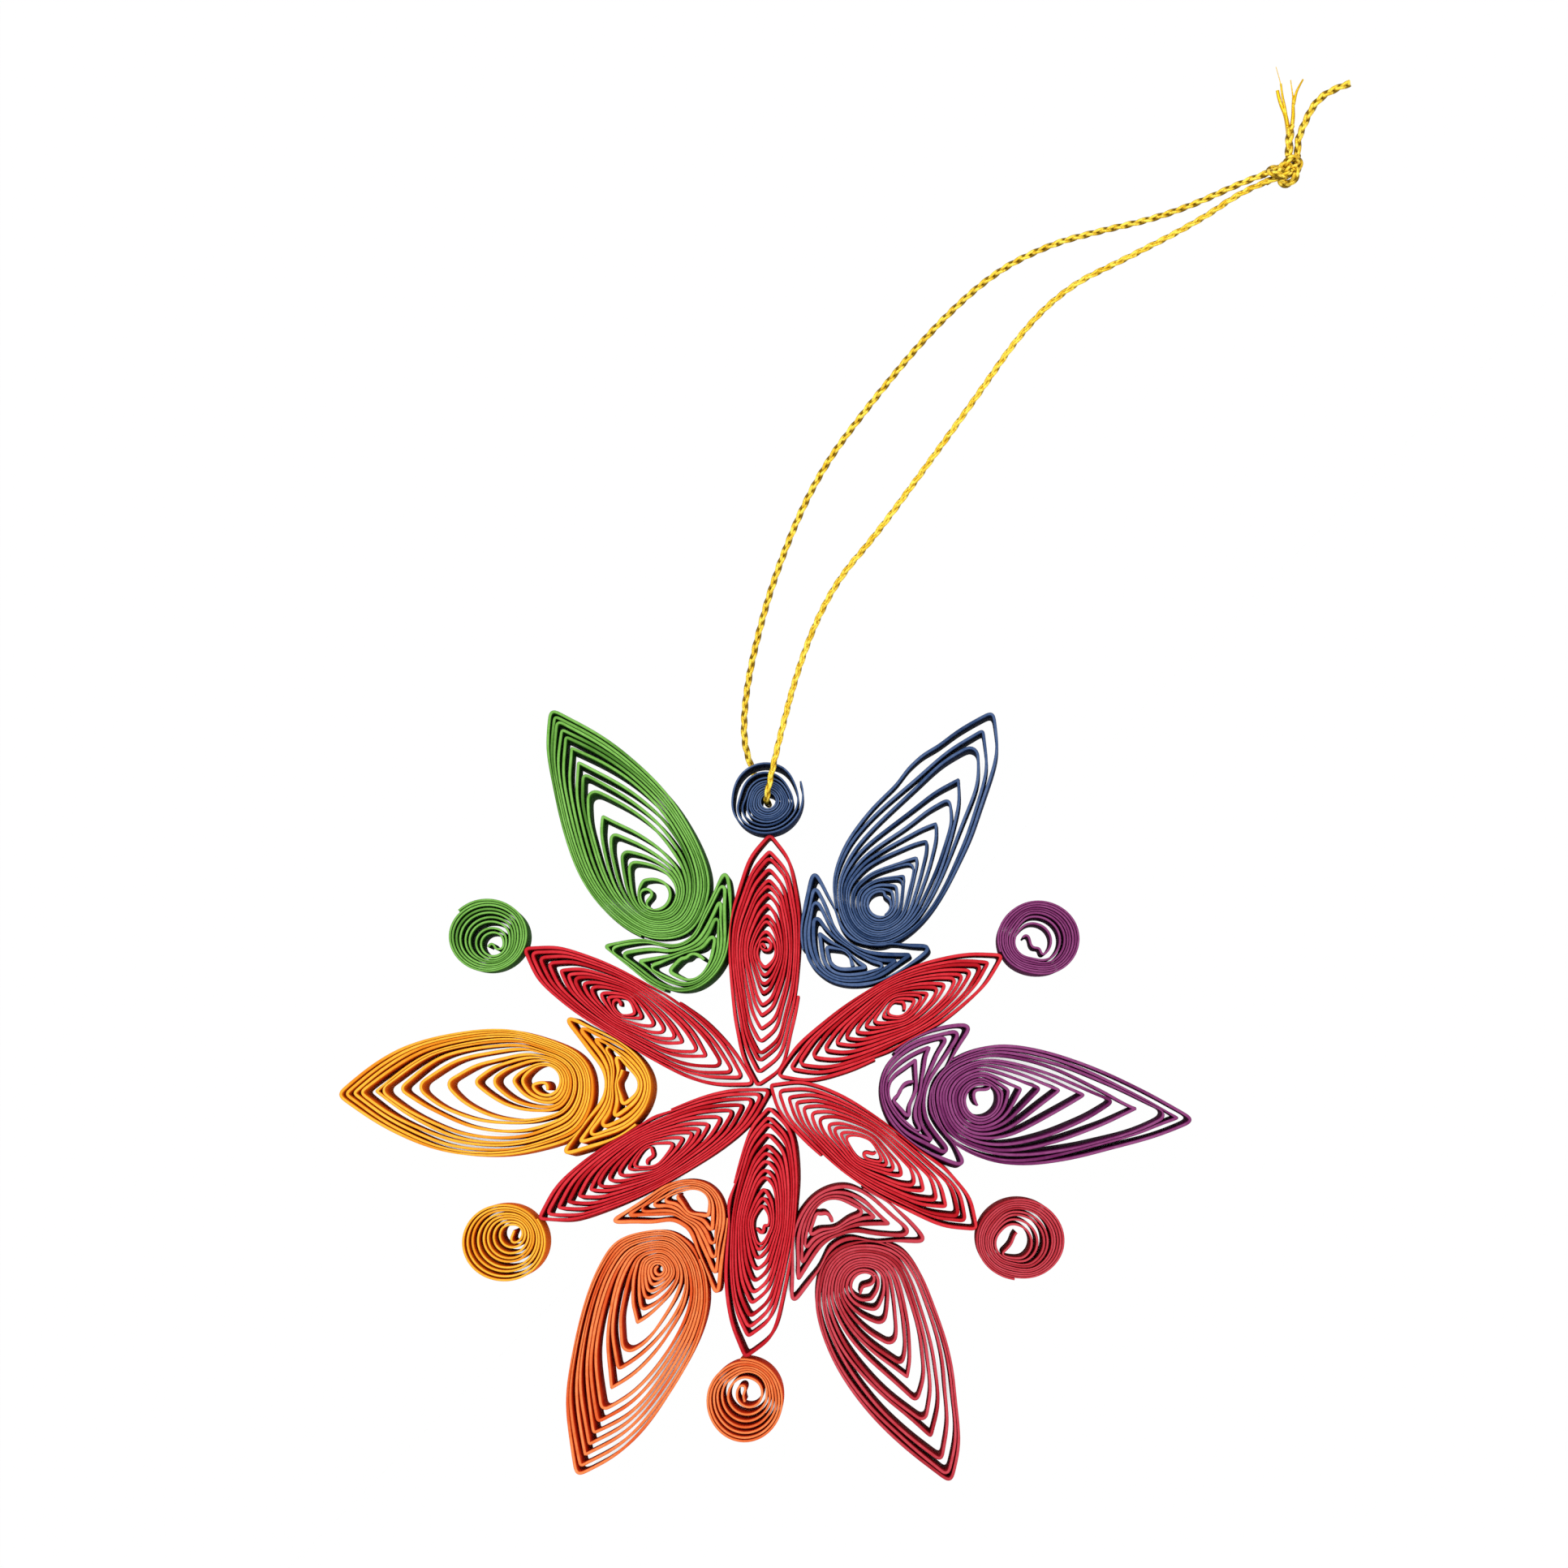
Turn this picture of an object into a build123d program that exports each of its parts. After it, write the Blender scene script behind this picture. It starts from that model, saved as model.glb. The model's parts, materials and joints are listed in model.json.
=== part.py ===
from build123d import *
import math
import os
import numpy as np

# A quilled paper snowflake: 24 coils of paper strip on edge, with a loop of cord.
# Millimetres. The middle of the hub is the drawing's origin, +X is right and +Y is up.

# Paper and glue
paper = 0.16          # thickness of a strip
strip_width = 5.0     # a strip stands on edge, so this is the ornament's thickness
turn_gap = 0.05       # least air between two turns of a coil
glue_film = 0.05      # between two coils that are glued side by side
fold_radius = 0.24    # middle of the strip in a pinched fold
fold_room = 0.9       # how far from a fold its flanks are free to curve
turn_points = 24      # points on the middle line of each turn
outline_steps = 96    # points on a round coil's outline
turn_runs = 4         # runs in a turn that is not folded at both ends
least_run = 0.05      # a strip's last run is at least this part of a turn
least_points = 4      # a run has at least this many free points
outline_fill = 8      # points put between two that an outline names
heading_step = 0.002  # part of a turn either side, to take the strip's direction

# How a strip ends and how its turns gather at the tips
two_fold_end = 0.35   # turns from the outer end to the outermost fold, with two folds a turn
one_fold_end = 0.6    # the same with one fold a turn, and in a round coil
tip_pull = 0.15       # how far from a tip its folds still draw the turns along
tip_spread = 1.1      # how narrow the cone is in which they do

# Fitting the coils together
rim_steps = 12        # points between two on the middle line, to feel for a neighbour
rim_runs = 6          # the outermost runs of a strip, which can touch a neighbour
slide_from = 2.5      # a coil is slid home from this far off
slide_step = 0.1
slide_halvings = 8    # after that step, the contact is narrowed down this often
settle_rounds = 4     # a coil in a notch is centred and slid home this often

# Cord
cord_diameter = 0.83
cord_clearance = 0.055   # between the cord and the coil over it
arc_share = 0.45         # part of a run that its arc takes up at each end

# Knot, by the outline that it covers. Its length points along the two strands.
knot_at = (58.57, 102.15)
knot_turned = 20.0
knot_thickness = 2.4
knot_rounding = 0.35
knot_outline = [(-2.45, -1.1), (-2.45, 1.1), (-1.2, 1.5), (0.05, 1.55), (2.25, 0.84), (2.5, 0.2), (1.9, -1.1),
                (0.3, -1.45), (-1.5, -1.4)]

# Petals. Each outline runs round the coil's eye from the outer tip, and foot is the place
# of the inner tip in it. outer and inner are the reaches of the folds, from the eye outward.
petals = {
    "petal_top": dict(
        at=(-0.6, 14.6), turned=87.5, eye=0.85, foot=5,
        outline=[(12.7, 0.1), (12.4, 0.9), (5.5, 3.5), (0.0, 4.0), (-13.3, 1.3), (-14.4, 0.3),
                 (-13.2, -1.6), (-6.5, -3.5), (-1.8, -3.8), (6.2, -3.2), (12.3, -0.9)],
        outer=[1.5, 2.3, 3.4, 4.1, 5.4, 6.4, 7.2, 7.9, 9.0, 10.1, 11.1, 12.7],
        inner=[1.6, 2.4, 3.3, 4.6, 5.8, 7.0, 8.4, 9.6, 10.8, 11.7, 13.0, 14.4]),
    "petal_upper_right": dict(
        at=(13.4, 8.5), turned=25.9, eye=0.75, foot=5,
        outline=[(12.6, 0.1), (9.8, 1.7), (4.4, 3.2), (-2.7, 3.1), (-12.5, 0.7), (-14.8, -0.9),
                 (-12.2, -2.7), (-7.0, -3.8), (5.0, -3.2), (11.6, -0.9)],
        outer=[1.5, 2.1, 2.8, 3.7, 4.7, 5.7, 6.8, 7.7, 8.7, 9.9, 11.1, 12.5],
        inner=[1.3, 1.9, 2.9, 4.0, 5.2, 6.4, 7.7, 9.0, 10.4, 12.0, 13.2, 14.7]),
    "petal_lower_right": dict(
        at=(11.1, -7.2), turned=-34.0, eye=0.75, foot=6,
        outline=[(14.6, -0.3), (14.1, 0.5), (12.3, 1.9), (3.5, 3.4), (-5.4, 3.4), (-10.4, 1.9),
                 (-12.6, 0.0), (-10.7, -1.6), (-1.8, -3.4), (5.3, -3.2), (13.5, -1.3)],
        outer=[1.5, 2.2, 2.9, 3.7, 4.9, 6.3, 7.7, 9.2, 10.7, 12.0, 13.0, 14.5],
        inner=[1.7, 2.4, 3.2, 3.9, 4.7, 5.7, 6.8, 7.9, 8.9, 9.9, 11.0, 12.4]),
    "petal_bottom": dict(
        at=(-0.9, -12.9), turned=-95.6, eye=0.75, foot=5,
        outline=[(14.4, -0.3), (13.9, 0.7), (10.7, 2.6), (-5.4, 3.3), (-11.1, 1.5), (-12.5, -0.4),
                 (-10.7, -1.8), (-2.7, -3.5), (8.0, -3.0), (13.5, -1.1)],
        outer=[1.6, 2.4, 3.1, 3.9, 5.1, 6.3, 7.5, 8.7, 10.0, 11.1, 12.2, 14.3],
        inner=[1.8, 2.6, 3.6, 4.7, 5.5, 6.4, 7.3, 8.3, 9.3, 10.3, 11.2, 12.2]),
    "petal_lower_left": dict(
        at=(-13.7, -7.7), turned=-150.9, eye=0.85, foot=4,
        outline=[(13.9, -0.1), (11.6, 1.5), (0.9, 3.3), (-10.7, 2.2), (-14.5, 0.0), (-9.9, -2.4),
                 (0.9, -3.6), (8.9, -2.7), (11.6, -1.7)],
        outer=[1.5, 2.2, 2.9, 3.9, 5.2, 6.4, 7.7, 9.1, 10.4, 11.6, 12.7, 13.8],
        inner=[1.7, 2.6, 3.9, 4.9, 5.9, 7.0, 8.3, 9.7, 11.0, 12.1, 13.2, 14.3]),
    "petal_upper_left": dict(
        at=(-15.1, 8.2), turned=150.0, eye=0.85, foot=5,
        outline=[(12.5, -0.1), (10.3, 1.6), (4.4, 3.1), (-11.1, 2.8), (-12.9, 2.1), (-16.2, 0.1),
                 (-14.9, -0.9), (-10.7, -2.6), (-4.5, -3.6), (5.3, -3.1), (11.6, -1.1)],
        outer=[1.4, 2.0, 2.8, 3.9, 4.9, 5.9, 6.9, 8.0, 9.3, 10.4, 11.4, 12.4],
        inner=[1.5, 2.4, 3.8, 5.0, 6.4, 7.6, 9.1, 10.5, 11.9, 13.4, 14.7, 16.1]),
}

# Crescents between the petals. Each is bent round a circle of radius bend over wrap degrees
# either way and runs straight on. Their outlines and folds are measured along the bend.
ears = {
    "ear_green": dict(
        at=(-8.4, 11.8), turned=24.8, eye=1.2, foot=4, bend=4.6, wrap=52,
        outline=[(11.4, 0.4), (6.5, 1.8), (0.4, 2.8), (-6.6, 2.1), (-10.1, -0.5), (-4.6, -1.7),
                 (-0.8, -2.6), (2.6, -2.0)],
        outer=[2.2, 4.2, 6.2, 8.1, 9.8, 11.3], inner=[2.3, 4.3, 6.0, 7.6, 9.0, 10.1]),
    "ear_blue": dict(
        at=(6.7, 12.7), turned=-32.7, eye=1.0, foot=4, bend=5.6, wrap=54,
        outline=[(10.2, 0.0), (6.4, 1.7), (0.7, 2.4), (-6.7, 1.8), (-10.3, 0.1), (-5.1, -1.5),
                 (-0.6, -2.8), (3.4, -1.8)],
        outer=[1.9, 3.2, 4.8, 6.5, 8.2, 10.2], inner=[2.0, 3.9, 5.3, 7.0, 8.7, 10.3]),
    "ear_purple": dict(
        at=(13.7, 0.3), turned=-97.5, eye=1.3, foot=4, bend=5.6, wrap=58,
        outline=[(10.9, 0.4), (6.2, 1.7), (0.6, 2.7), (-6.0, 2.2), (-10.1, -0.4), (-5.0, -1.7),
                 (-0.4, -2.7), (4.0, -1.6)],
        outer=[1.6, 3.2, 5.1, 6.8, 8.6, 10.9], inner=[2.1, 3.6, 5.5, 7.2, 8.7, 10.1]),
    "ear_crimson": dict(
        at=(6.2, -12.3), turned=-154.1, eye=1.1, foot=4, bend=4.8, wrap=50,
        outline=[(10.3, 0.1), (6.2, 1.6), (0.3, 2.7), (-6.5, 1.9), (-10.8, 0.0), (-5.6, -1.7),
                 (-0.8, -2.9), (3.4, -1.7)],
        outer=[1.6, 3.0, 4.5, 6.2, 8.1, 10.3], inner=[1.9, 3.4, 5.1, 6.9, 8.8, 10.8]),
    "ear_orange": dict(
        at=(-7.4, -11.0), turned=148.4, eye=1.2, foot=4, bend=3.6, wrap=54,
        outline=[(9.5, 0.0), (5.2, 1.6), (0.2, 2.6), (-5.3, 1.6), (-10.3, -0.1), (-4.6, -1.4),
                 (-0.2, -2.5), (3.2, -1.5)],
        outer=[2.2, 3.4, 4.7, 6.1, 7.7, 9.5], inner=[2.0, 3.6, 5.0, 6.5, 8.3, 10.3]),
    "ear_yellow": dict(
        at=(-14.2, 0.3), turned=90.7, eye=1.0, foot=4, bend=4.6, wrap=54,
        outline=[(10.1, -0.2), (5.4, 1.5), (0.4, 2.4), (-5.8, 1.7), (-10.4, 0.1), (-5.4, -1.6),
                 (-0.2, -2.8), (3.8, -1.5)],
        outer=[2.0, 3.3, 4.8, 6.4, 8.2, 10.1], inner=[2.1, 3.7, 5.2, 6.8, 8.5, 10.4]),
}

# Teardrops, points outward. They have one fold a turn.
teardrops = {
    "teardrop_green": dict(
        at=(-11.8, 19.8), turned=119.8, eye=1.7, lean=13,
        outline=[(23.6, 0.0), (20.8, 2.2), (8.5, 6.0), (2.9, 6.1), (-1.8, 4.5), (-4.5, 2.3),
                 (-5.5, -1.0), (-3.8, -4.1), (-1.5, -5.9), (1.9, -6.7), (8.8, -6.4), (14.4, -4.9),
                 (19.1, -2.8)],
        outer=[1.7, 2.3, 4.2, 5.6, 8.0, 10.7, 12.9, 15.3, 17.1, 18.9, 20.1, 21.0, 21.8, 22.6, 23.4]),
    "teardrop_blue": dict(
        at=(11.0, 18.5), turned=59.3, eye=1.4, lean=-12,
        outline=[(24.3, 0.0), (23.0, 1.2), (7.8, 6.2), (3.2, 6.6), (-0.8, 5.4), (-3.9, 2.5),
                 (-4.6, 0.0), (-3.8, -2.6), (0.3, -5.0), (10.9, -4.9), (23.4, -1.3)],
        outer=[1.5, 2.1, 2.7, 3.4, 4.2, 5.3, 6.8, 8.7, 11.0, 13.4, 16.4, 19.3, 22.0, 24.2]),
    "teardrop_purple": dict(
        at=(21.8, -1.2), turned=-5.5, eye=1.6, lean=29,
        outline=[(22.6, 0.0), (17.6, 2.4), (10.3, 5.1), (4.3, 6.1), (0.6, 5.9), (-3.2, 4.2),
                 (-5.1, 2.2), (-5.6, -0.1), (-4.0, -3.9), (-1.4, -5.7), (2.9, -6.6), (7.6, -6.0),
                 (20.3, -1.5)],
        outer=[1.6, 2.0, 2.5, 3.2, 4.6, 6.4, 8.6, 11.2, 13.9, 16.8, 19.2, 21.2, 22.5]),
    "teardrop_crimson": dict(
        at=(9.2, -19.3), turned=-66.1, eye=1.4, lean=5,
        outline=[(22.2, 0.0), (20.7, 1.5), (17.5, 3.1), (8.3, 5.7), (-1.8, 5.3), (-4.9, 0.8),
                 (-4.5, -2.5), (-2.4, -4.6), (0.6, -5.9), (5.6, -6.2), (10.8, -5.3), (16.3, -3.3)],
        outer=[1.4, 1.9, 2.6, 3.9, 6.2, 8.7, 10.8, 12.9, 14.9, 17.2, 19.5, 21.1, 22.1]),
    "teardrop_orange": dict(
        at=(-11.5, -17.8), turned=-111.6, eye=0.6, lean=0,
        outline=[(23.3, 0.0), (19.6, 3.2), (15.3, 5.1), (9.3, 6.5), (4.4, 6.8), (0.5, 5.9),
                 (-2.9, 3.5), (-4.4, -0.2), (-1.9, -4.8), (0.0, -5.8), (4.8, -6.2), (14.7, -4.5),
                 (18.7, -2.8)],
        outer=[0.6, 1.1, 1.7, 2.4, 3.2, 4.5, 6.4, 8.7, 11.3, 13.8, 15.6, 17.2, 18.6, 20.0, 21.3,
               22.3, 23.2]),
    "teardrop_yellow": dict(
        at=(-21.8, 1.0), turned=-176.3, eye=1.5, lean=-6,
        outline=[(22.7, 0.0), (21.1, 1.6), (13.4, 6.2), (7.4, 7.6), (1.8, 7.4), (-3.1, 5.9),
                 (-5.0, 3.0), (-5.2, -0.4), (-4.1, -2.5), (0.7, -5.0), (5.4, -6.0), (16.5, -4.2)],
        outer=[1.6, 2.4, 3.5, 5.2, 7.4, 10.2, 13.2, 15.5, 17.4, 18.8, 20.0, 20.9, 21.7, 22.5]),
}

# Round coils, one past each petal's outer tip. Their outline is an ellipse whose middle lies
# off to one side of the eye, and outer is where the turns cross the line on that side.
round_coils = {
    "round_coil_green": dict(
        at=(-28.8, 14.7), off=(-0.8, 1.1), half=(4.5, 4.05), eye=0.9, turns=9.4,
        outer=[1.0, 1.5, 2.0, 2.6, 3.3, 3.8, 4.2, 4.6, 5.0, 5.4]),
    "round_coil_blue": dict(
        at=(-0.5, 31.1), off=(-0.1, 0.6), half=(4.15, 4.3), eye=0.95, turns=9.8,
        outer=[1.0, 1.25, 1.5, 1.8, 2.1, 2.4, 2.7, 3.1, 3.6, 4.1, 4.9]),
    "round_coil_purple": dict(
        at=(27.6, 15.5), off=(0.9, 0.4), half=(4.35, 4.0), eye=1.3, turns=8.5,
        outer=[1.5, 2.3, 3.2, 3.8, 4.1, 4.4, 4.7, 5.0, 5.3]),
    "round_coil_crimson": dict(
        at=(26.3, -17.0), off=(1.0, 0.4), half=(4.65, 4.2), eye=1.35, turns=9.7,
        outer=[1.6, 2.4, 3.0, 3.6, 4.1, 4.5, 4.8, 5.1, 5.4, 5.7]),
    "round_coil_orange": dict(
        at=(-2.1, -29.9), off=(-0.5, -1.3), half=(4.1, 4.4), eye=1.4, turns=6.6,
        outer=[1.9, 2.6, 3.5, 4.2, 4.8, 5.2, 5.6]),
    "round_coil_yellow": dict(
        at=(-27.9, -15.6), off=(-1.2, -1.0), half=(4.5, 4.2), eye=0.8, turns=8.5,
        outer=[1.1, 1.7, 2.3, 2.9, 3.5, 4.1, 4.7, 5.3, 5.8]),
}

# Cord routes: points chosen along the two strands and the two tails, from the ornament's middle.
# The strands meet beneath the blue round coil. The front one climbs through its eye and leaves
# over its turns. Both enter the knot by its flat end, and the tails leave by its upper side.
front_route = [
    (-0.4, 32.9, 0.43), (0.6, 30.9, 0.43), (0.45, 31.0, 3.4), (0.5, 30.95, 6.75), (1.2, 34.3, 6.75),
    (2.1, 38.3, 6.4), (3.6, 44.6, 4.7), (5.6, 50.8, 2.8), (8.3, 56.3, 1.3), (12.2, 61.0, 0.6),
    (17.6, 68.4, 0.5), (23.3, 76.3, 0.5), (29.1, 84.7, 0.5), (34.3, 89.5, 0.5), (40.0, 92.2, 0.5),
    (48.7, 96.6, 0.6), (53.6, 99.864, 1.2), (56.42, 100.89, 1.2)]
back_route = [
    (-0.4, 32.9, 0.43), (-2.1, 36.3, 0.43), (-2.4, 41.2, 0.5), (-1.3, 48.1, 0.5), (1.3, 57.5, 0.5),
    (5.8, 68.1, 0.5), (12.1, 76.6, 0.5), (18.9, 84.8, 0.5), (25.6, 91.0, 0.5), (32.0, 94.2, 0.5),
    (37.8, 95.7, 0.5), (43.4, 96.9, 0.5), (48.6, 98.7, 0.6), (53.291, 100.709, 1.2),
    (56.11, 101.735, 1.2)]
left_tail = [
    (58.767, 103.652, 1.2), (58.71, 105.25, 1.2), (59.1, 107.4, 0.6), (59.1, 109.2, 0.5),
    (59.0, 110.6, 0.5)]
right_tail = [
    (59.716, 103.687, 1.2), (59.66, 105.28, 1.2), (60.5, 107.5, 0.6), (61.8, 110.1, 0.5),
    (63.7, 111.6, 0.5), (65.8, 112.3, 0.5)]


def mix(a, b, t):
    return a + (b - a) * t


def smooth(t):
    t = min(max(t, 0.0), 1.0)
    return t * t * (3 - 2 * t)


def spun(p, angle):
    """A vector turned by an angle in radians."""
    c, s = math.cos(angle), math.sin(angle)
    return p[0] * c - p[1] * s, p[0] * s + p[1] * c


def toward(a, b):
    """The unit vector from a to b, and the distance."""
    far = math.dist(a, b)
    return ((b[0] - a[0]) / far, (b[1] - a[1]) / far), far


def direction(before, here, after):
    """The direction of a smooth line through three points, at the middle one."""
    one, near = toward(before, here)
    two, far = toward(here, after)
    return toward((0, 0), (one[0] * far + two[0] * near, one[1] * far + two[1] * near))[0]


def flowing(points, steps=outline_fill):
    """Points of a smooth line through the given ones, without the last."""
    line = []
    ahead = [tuple(2 * a - b for a, b in zip(points[0], points[1]))]
    behind = [tuple(2 * a - b for a, b in zip(points[-1], points[-2]))]
    padded = ahead + list(points) + behind
    for p0, p1, p2, p3 in zip(padded, padded[1:], padded[2:], padded[3:]):
        k0, k1, k2 = (math.sqrt(math.dist(a, b)) for a, b in ((p0, p1), (p1, p2), (p2, p3)))
        for step in range(steps):
            t = step / steps
            point = []
            for a, b, c, d in zip(p0, p1, p2, p3):
                leave = ((b - a) / k0 - (c - a) / (k0 + k1) + (c - b) / k1) * k1
                arrive = ((c - b) / k1 - (d - b) / (k1 + k2) + (d - c) / k2) * k1
                bend = 2 * t**3 - 3 * t**2
                point.append(mix(b, c, -bend) + (t**3 - 2 * t**2 + t) * leave + (t**3 - t**2) * arrive)
            line.append(tuple(point))
    return line


class Coil:
    """One strip, rolled. Its turns step out from the eye to the outline."""

    def __init__(self, at, eye, outer, inner=(), outline=(), foot=0, turned=0.0, lean=0.0, bend=0.0,
                 wrap=0.0, off=None, half=None, turns=None):
        self.x, self.y = at
        self.turned = math.radians(turned)
        self.eye, self.lean, self.bend = eye, math.radians(lean), bend
        self.wrap = math.radians(wrap) * bend
        self.folds = off is None
        if not self.folds:
            line, toe = self.ellipse(off, half), 0
        elif foot:
            near = flowing(outline[: foot + 1])
            line, toe = near + flowing(outline[foot:] + outline[:1]), len(near)
        else:
            line, toe = flowing(outline + outline[:1]), 0
        self.loop = np.array(line + line[:1])
        steps = np.linalg.norm(np.diff(self.loop, axis=0), axis=1)
        angles = np.unwrap(np.arctan2(self.loop[:, 1], self.loop[:, 0]))
        along = np.concatenate([[0.0], np.cumsum(steps)]) / steps.sum()
        self.marks = (along + (angles - angles[0]) / (2 * math.pi)) / 2
        self.foot_at = float(self.marks[toe])
        reach = np.hypot(self.loop[:, 0], self.loop[:, 1])
        self.side, self.tip, self.toe = float(reach.min()), float(reach[0]), float(reach[toe])
        wanted = turns or len(outer) - (two_fold_end if inner else one_fold_end)
        self.turns = min(wanted, (self.side - eye) / (paper + turn_gap))
        self.outer = self.shares(outer, self.tip, wanted)
        self.inner = self.shares(inner, self.toe, wanted) if inner else []
        self.runs = []
        self.build()

    def ellipse(self, off, half):
        """The outline of a round coil, started on its looser side."""
        self.turned = math.atan2(off[1], off[0])
        far = math.hypot(*off)
        line = []
        for step in range(outline_steps):
            a = 2 * math.pi * step / outline_steps
            x, y = half[0] * math.cos(a + self.turned), half[1] * math.sin(a + self.turned)
            x, y = spun((x, y), -self.turned)
            line.append((x + far, y))
        return line

    def shares(self, reaches, tip, wanted):
        """Reaches of the folds as shares of the way to the tip, for as many turns as fit."""
        held = [(reach - self.eye) / (tip - self.eye) for reach in reaches]
        ratio = wanted / self.turns
        count = math.ceil(self.turns) + 1
        return [float(np.interp(k * ratio, range(len(held)), held)) for k in range(count)]

    def stepped(self, shares, s):
        """The share at s, where the turns cross a tip's line at whole numbers of s."""
        k = math.floor(s)
        low = shares[min(max(k, 0), len(shares) - 1)]
        high = shares[min(max(k + 1, 0), len(shares) - 1)]
        return mix(low, high, smooth(2 * (s - k) - 0.5))

    def flat(self, s):
        """The strip's middle after s turns, before any bend."""
        u = s - math.floor(s)
        p = [float(np.interp(u, self.marks, self.loop[:, axis])) for axis in (0, 1)]
        reach = math.hypot(*p)
        along = p[0] / reach
        out = self.pull(reach, self.tip) * smooth(0.5 + tip_spread * along)
        toe = self.pull(reach, self.toe) * smooth(0.5 - tip_spread * along) if self.inner else 0.0
        share = s / self.turns * (1 - out - toe)
        if out:
            share += out * self.stepped(self.outer, s)
        if toe:
            share += toe * self.stepped(self.inner, s - self.foot_at)
        r = mix(self.eye, reach, share)
        side = self.lean * out * (1 - share) ** 2
        return spun((p[0] / reach * r, p[1] / reach * r), side)

    def pull(self, reach, tip):
        """How far a place on the outline follows its tip: 0 at the sides, 1 at the tip."""
        q = min(max((reach - self.side) / (tip - self.side), 0.0), 1.0)
        return q * (1 + tip_pull) / (q + tip_pull)

    def point(self, s):
        """The strip's middle after s turns, bent where the coil is."""
        x, y = self.flat(s)
        if not self.bend:
            return x, y
        held = min(max(x, -self.wrap), self.wrap)
        angle = held / self.bend
        along = spun((x - held, y - self.bend), angle)
        return along[0], along[1] + self.bend

    def heading(self, s):
        """The strip's direction after s turns."""
        return toward(self.point(max(s - heading_step, 0.0)), self.point(s + heading_step))[0]

    def joins(self):
        """Where the runs of the strip meet, in turns, and whether it is folded there."""
        last = math.floor(self.turns)
        found = [(float(k), self.folds) for k in range(1, last + 1)]
        if self.inner:
            found += [(k + self.foot_at, True) for k in range(last + 1)]
        else:
            parts = range(1, turn_runs)
            found += [(k + part / turn_runs, False) for k in range(last + 1) for part in parts]
        return sorted(join for join in found if join[0] < self.turns - least_run)

    def span(self, start, end):
        """Turns of the free points between two places."""
        count = max(least_points, round((end - start) * turn_points))
        return [start + (end - start) * k / count for k in range(1, count)]

    def build(self):
        """The runs of the strip: points, direction at each end, and the fold that follows."""
        joins = [(0.0, False)] + self.joins() + [(self.turns, False)]
        spans = [[self.point(s) for s in self.span(a[0], b[0])] for a, b in zip(joins, joins[1:])]
        start = [self.point(0.0)]
        leave = toward(start[0], spans[0][0])[0]
        for k, (place, folded) in enumerate(joins[1:-1]):
            apex = self.point(place)
            before, after = spans[k], spans[k + 1]
            if not folded:
                way = self.heading(place)
                self.runs.append([start + before + [apex], leave, way, None])
                start, leave = [apex], way
                continue
            while len(before) > 1 and math.dist(before[-1], apex) < fold_room:
                before.pop()
            while len(after) > 1 and math.dist(after[0], apex) < fold_room:
                after.pop(0)
            one, two = toward(before[-1], apex)[0], toward(after[0], apex)[0]
            out = toward((0, 0), (one[0] + two[0], one[1] + two[1]))[0]
            middle = (apex[0] - out[0] * fold_radius, apex[1] - out[1] * fold_radius)
            aim, far = toward(before[-1], middle)
            arrive = spun(aim, -math.asin(fold_radius / far))
            meet = (middle[0] + arrive[1] * fold_radius, middle[1] - arrive[0] * fold_radius)
            self.runs.append([start + before + [meet], leave, arrive, (middle, out)])
            aim, far = toward(middle, after[0])
            leave = spun(aim, math.asin(fold_radius / far))
            start = [(middle[0] + leave[1] * fold_radius, middle[1] - leave[0] * fold_radius)]
        last = self.point(self.turns)
        points = start + spans[-1] + [last]
        self.runs.append([points, leave, toward(points[-2], last)[0], None])

    def side_edges(self, aside):
        """One face of the paper, aside of the middle line to its left."""
        edges = []
        for k, (points, leave, arrive, fold) in enumerate(self.runs):
            ways = [leave] + [direction(*three) for three in zip(points, points[1:], points[2:])] + [arrive]
            line = [(x - way[1] * aside, y + way[0] * aside) for (x, y), way in zip(points, ways)]
            edges.append(Spline(*line, tangents=[leave, arrive], tangent_scalars=[1, 1]))
            if fold:
                centre, out = fold
                radius = fold_radius - aside
                following = self.runs[k + 1][1]
                crown = (centre[0] + out[0] * radius, centre[1] + out[1] * radius)
                landing = (centre[0] + following[1] * radius, centre[1] - following[0] * radius)
                edges.append(ThreePointArc(line[-1], crown, landing))
        return edges

    def solid(self, floor=0.0):
        """The strip itself, standing on edge where the coil lies."""
        left = self.side_edges(paper / 2)
        right = self.side_edges(-paper / 2)
        outer_end = Line(left[-1] @ 1, right[-1] @ 1)
        inner_end = Line(right[0] @ 0, left[0] @ 0)
        ring = left + [outer_end] + right[::-1] + [inner_end]
        strip = extrude(Face(Wire(ring)), strip_width, dir=(0, 0, 1))
        return Pos(self.x, self.y, floor) * Rot(0, 0, math.degrees(self.turned)) * strip

    def rim(self):
        """Points close together round the outermost turn, where the coil lies."""
        line = []
        for points, leave, arrive, fold in self.runs[-rim_runs:]:
            line += flowing(points, rim_steps) + [points[-1]]
            if fold:
                centre, out = fold
                line.append((centre[0] + out[0] * fold_radius, centre[1] + out[1] * fold_radius))
        c, s = math.cos(self.turned), math.sin(self.turned)
        return np.array(line) @ np.array([[c, s], [-s, c]]) + (self.x, self.y)


def close_pairs(rim, others):
    """The stretches of a rim and of its neighbours that can meet when the coil slides."""
    pairs = []
    for other in others:
        apart = np.hypot(rim[:, None, 0] - other[None, :, 0], rim[:, None, 1] - other[None, :, 1])
        reach = slide_from + paper + glue_film
        mine, theirs = apart.min(axis=1) < reach, apart.min(axis=0) < reach
        if mine.any():
            pairs.append((rim[mine], other[theirs]))
    return pairs


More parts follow.
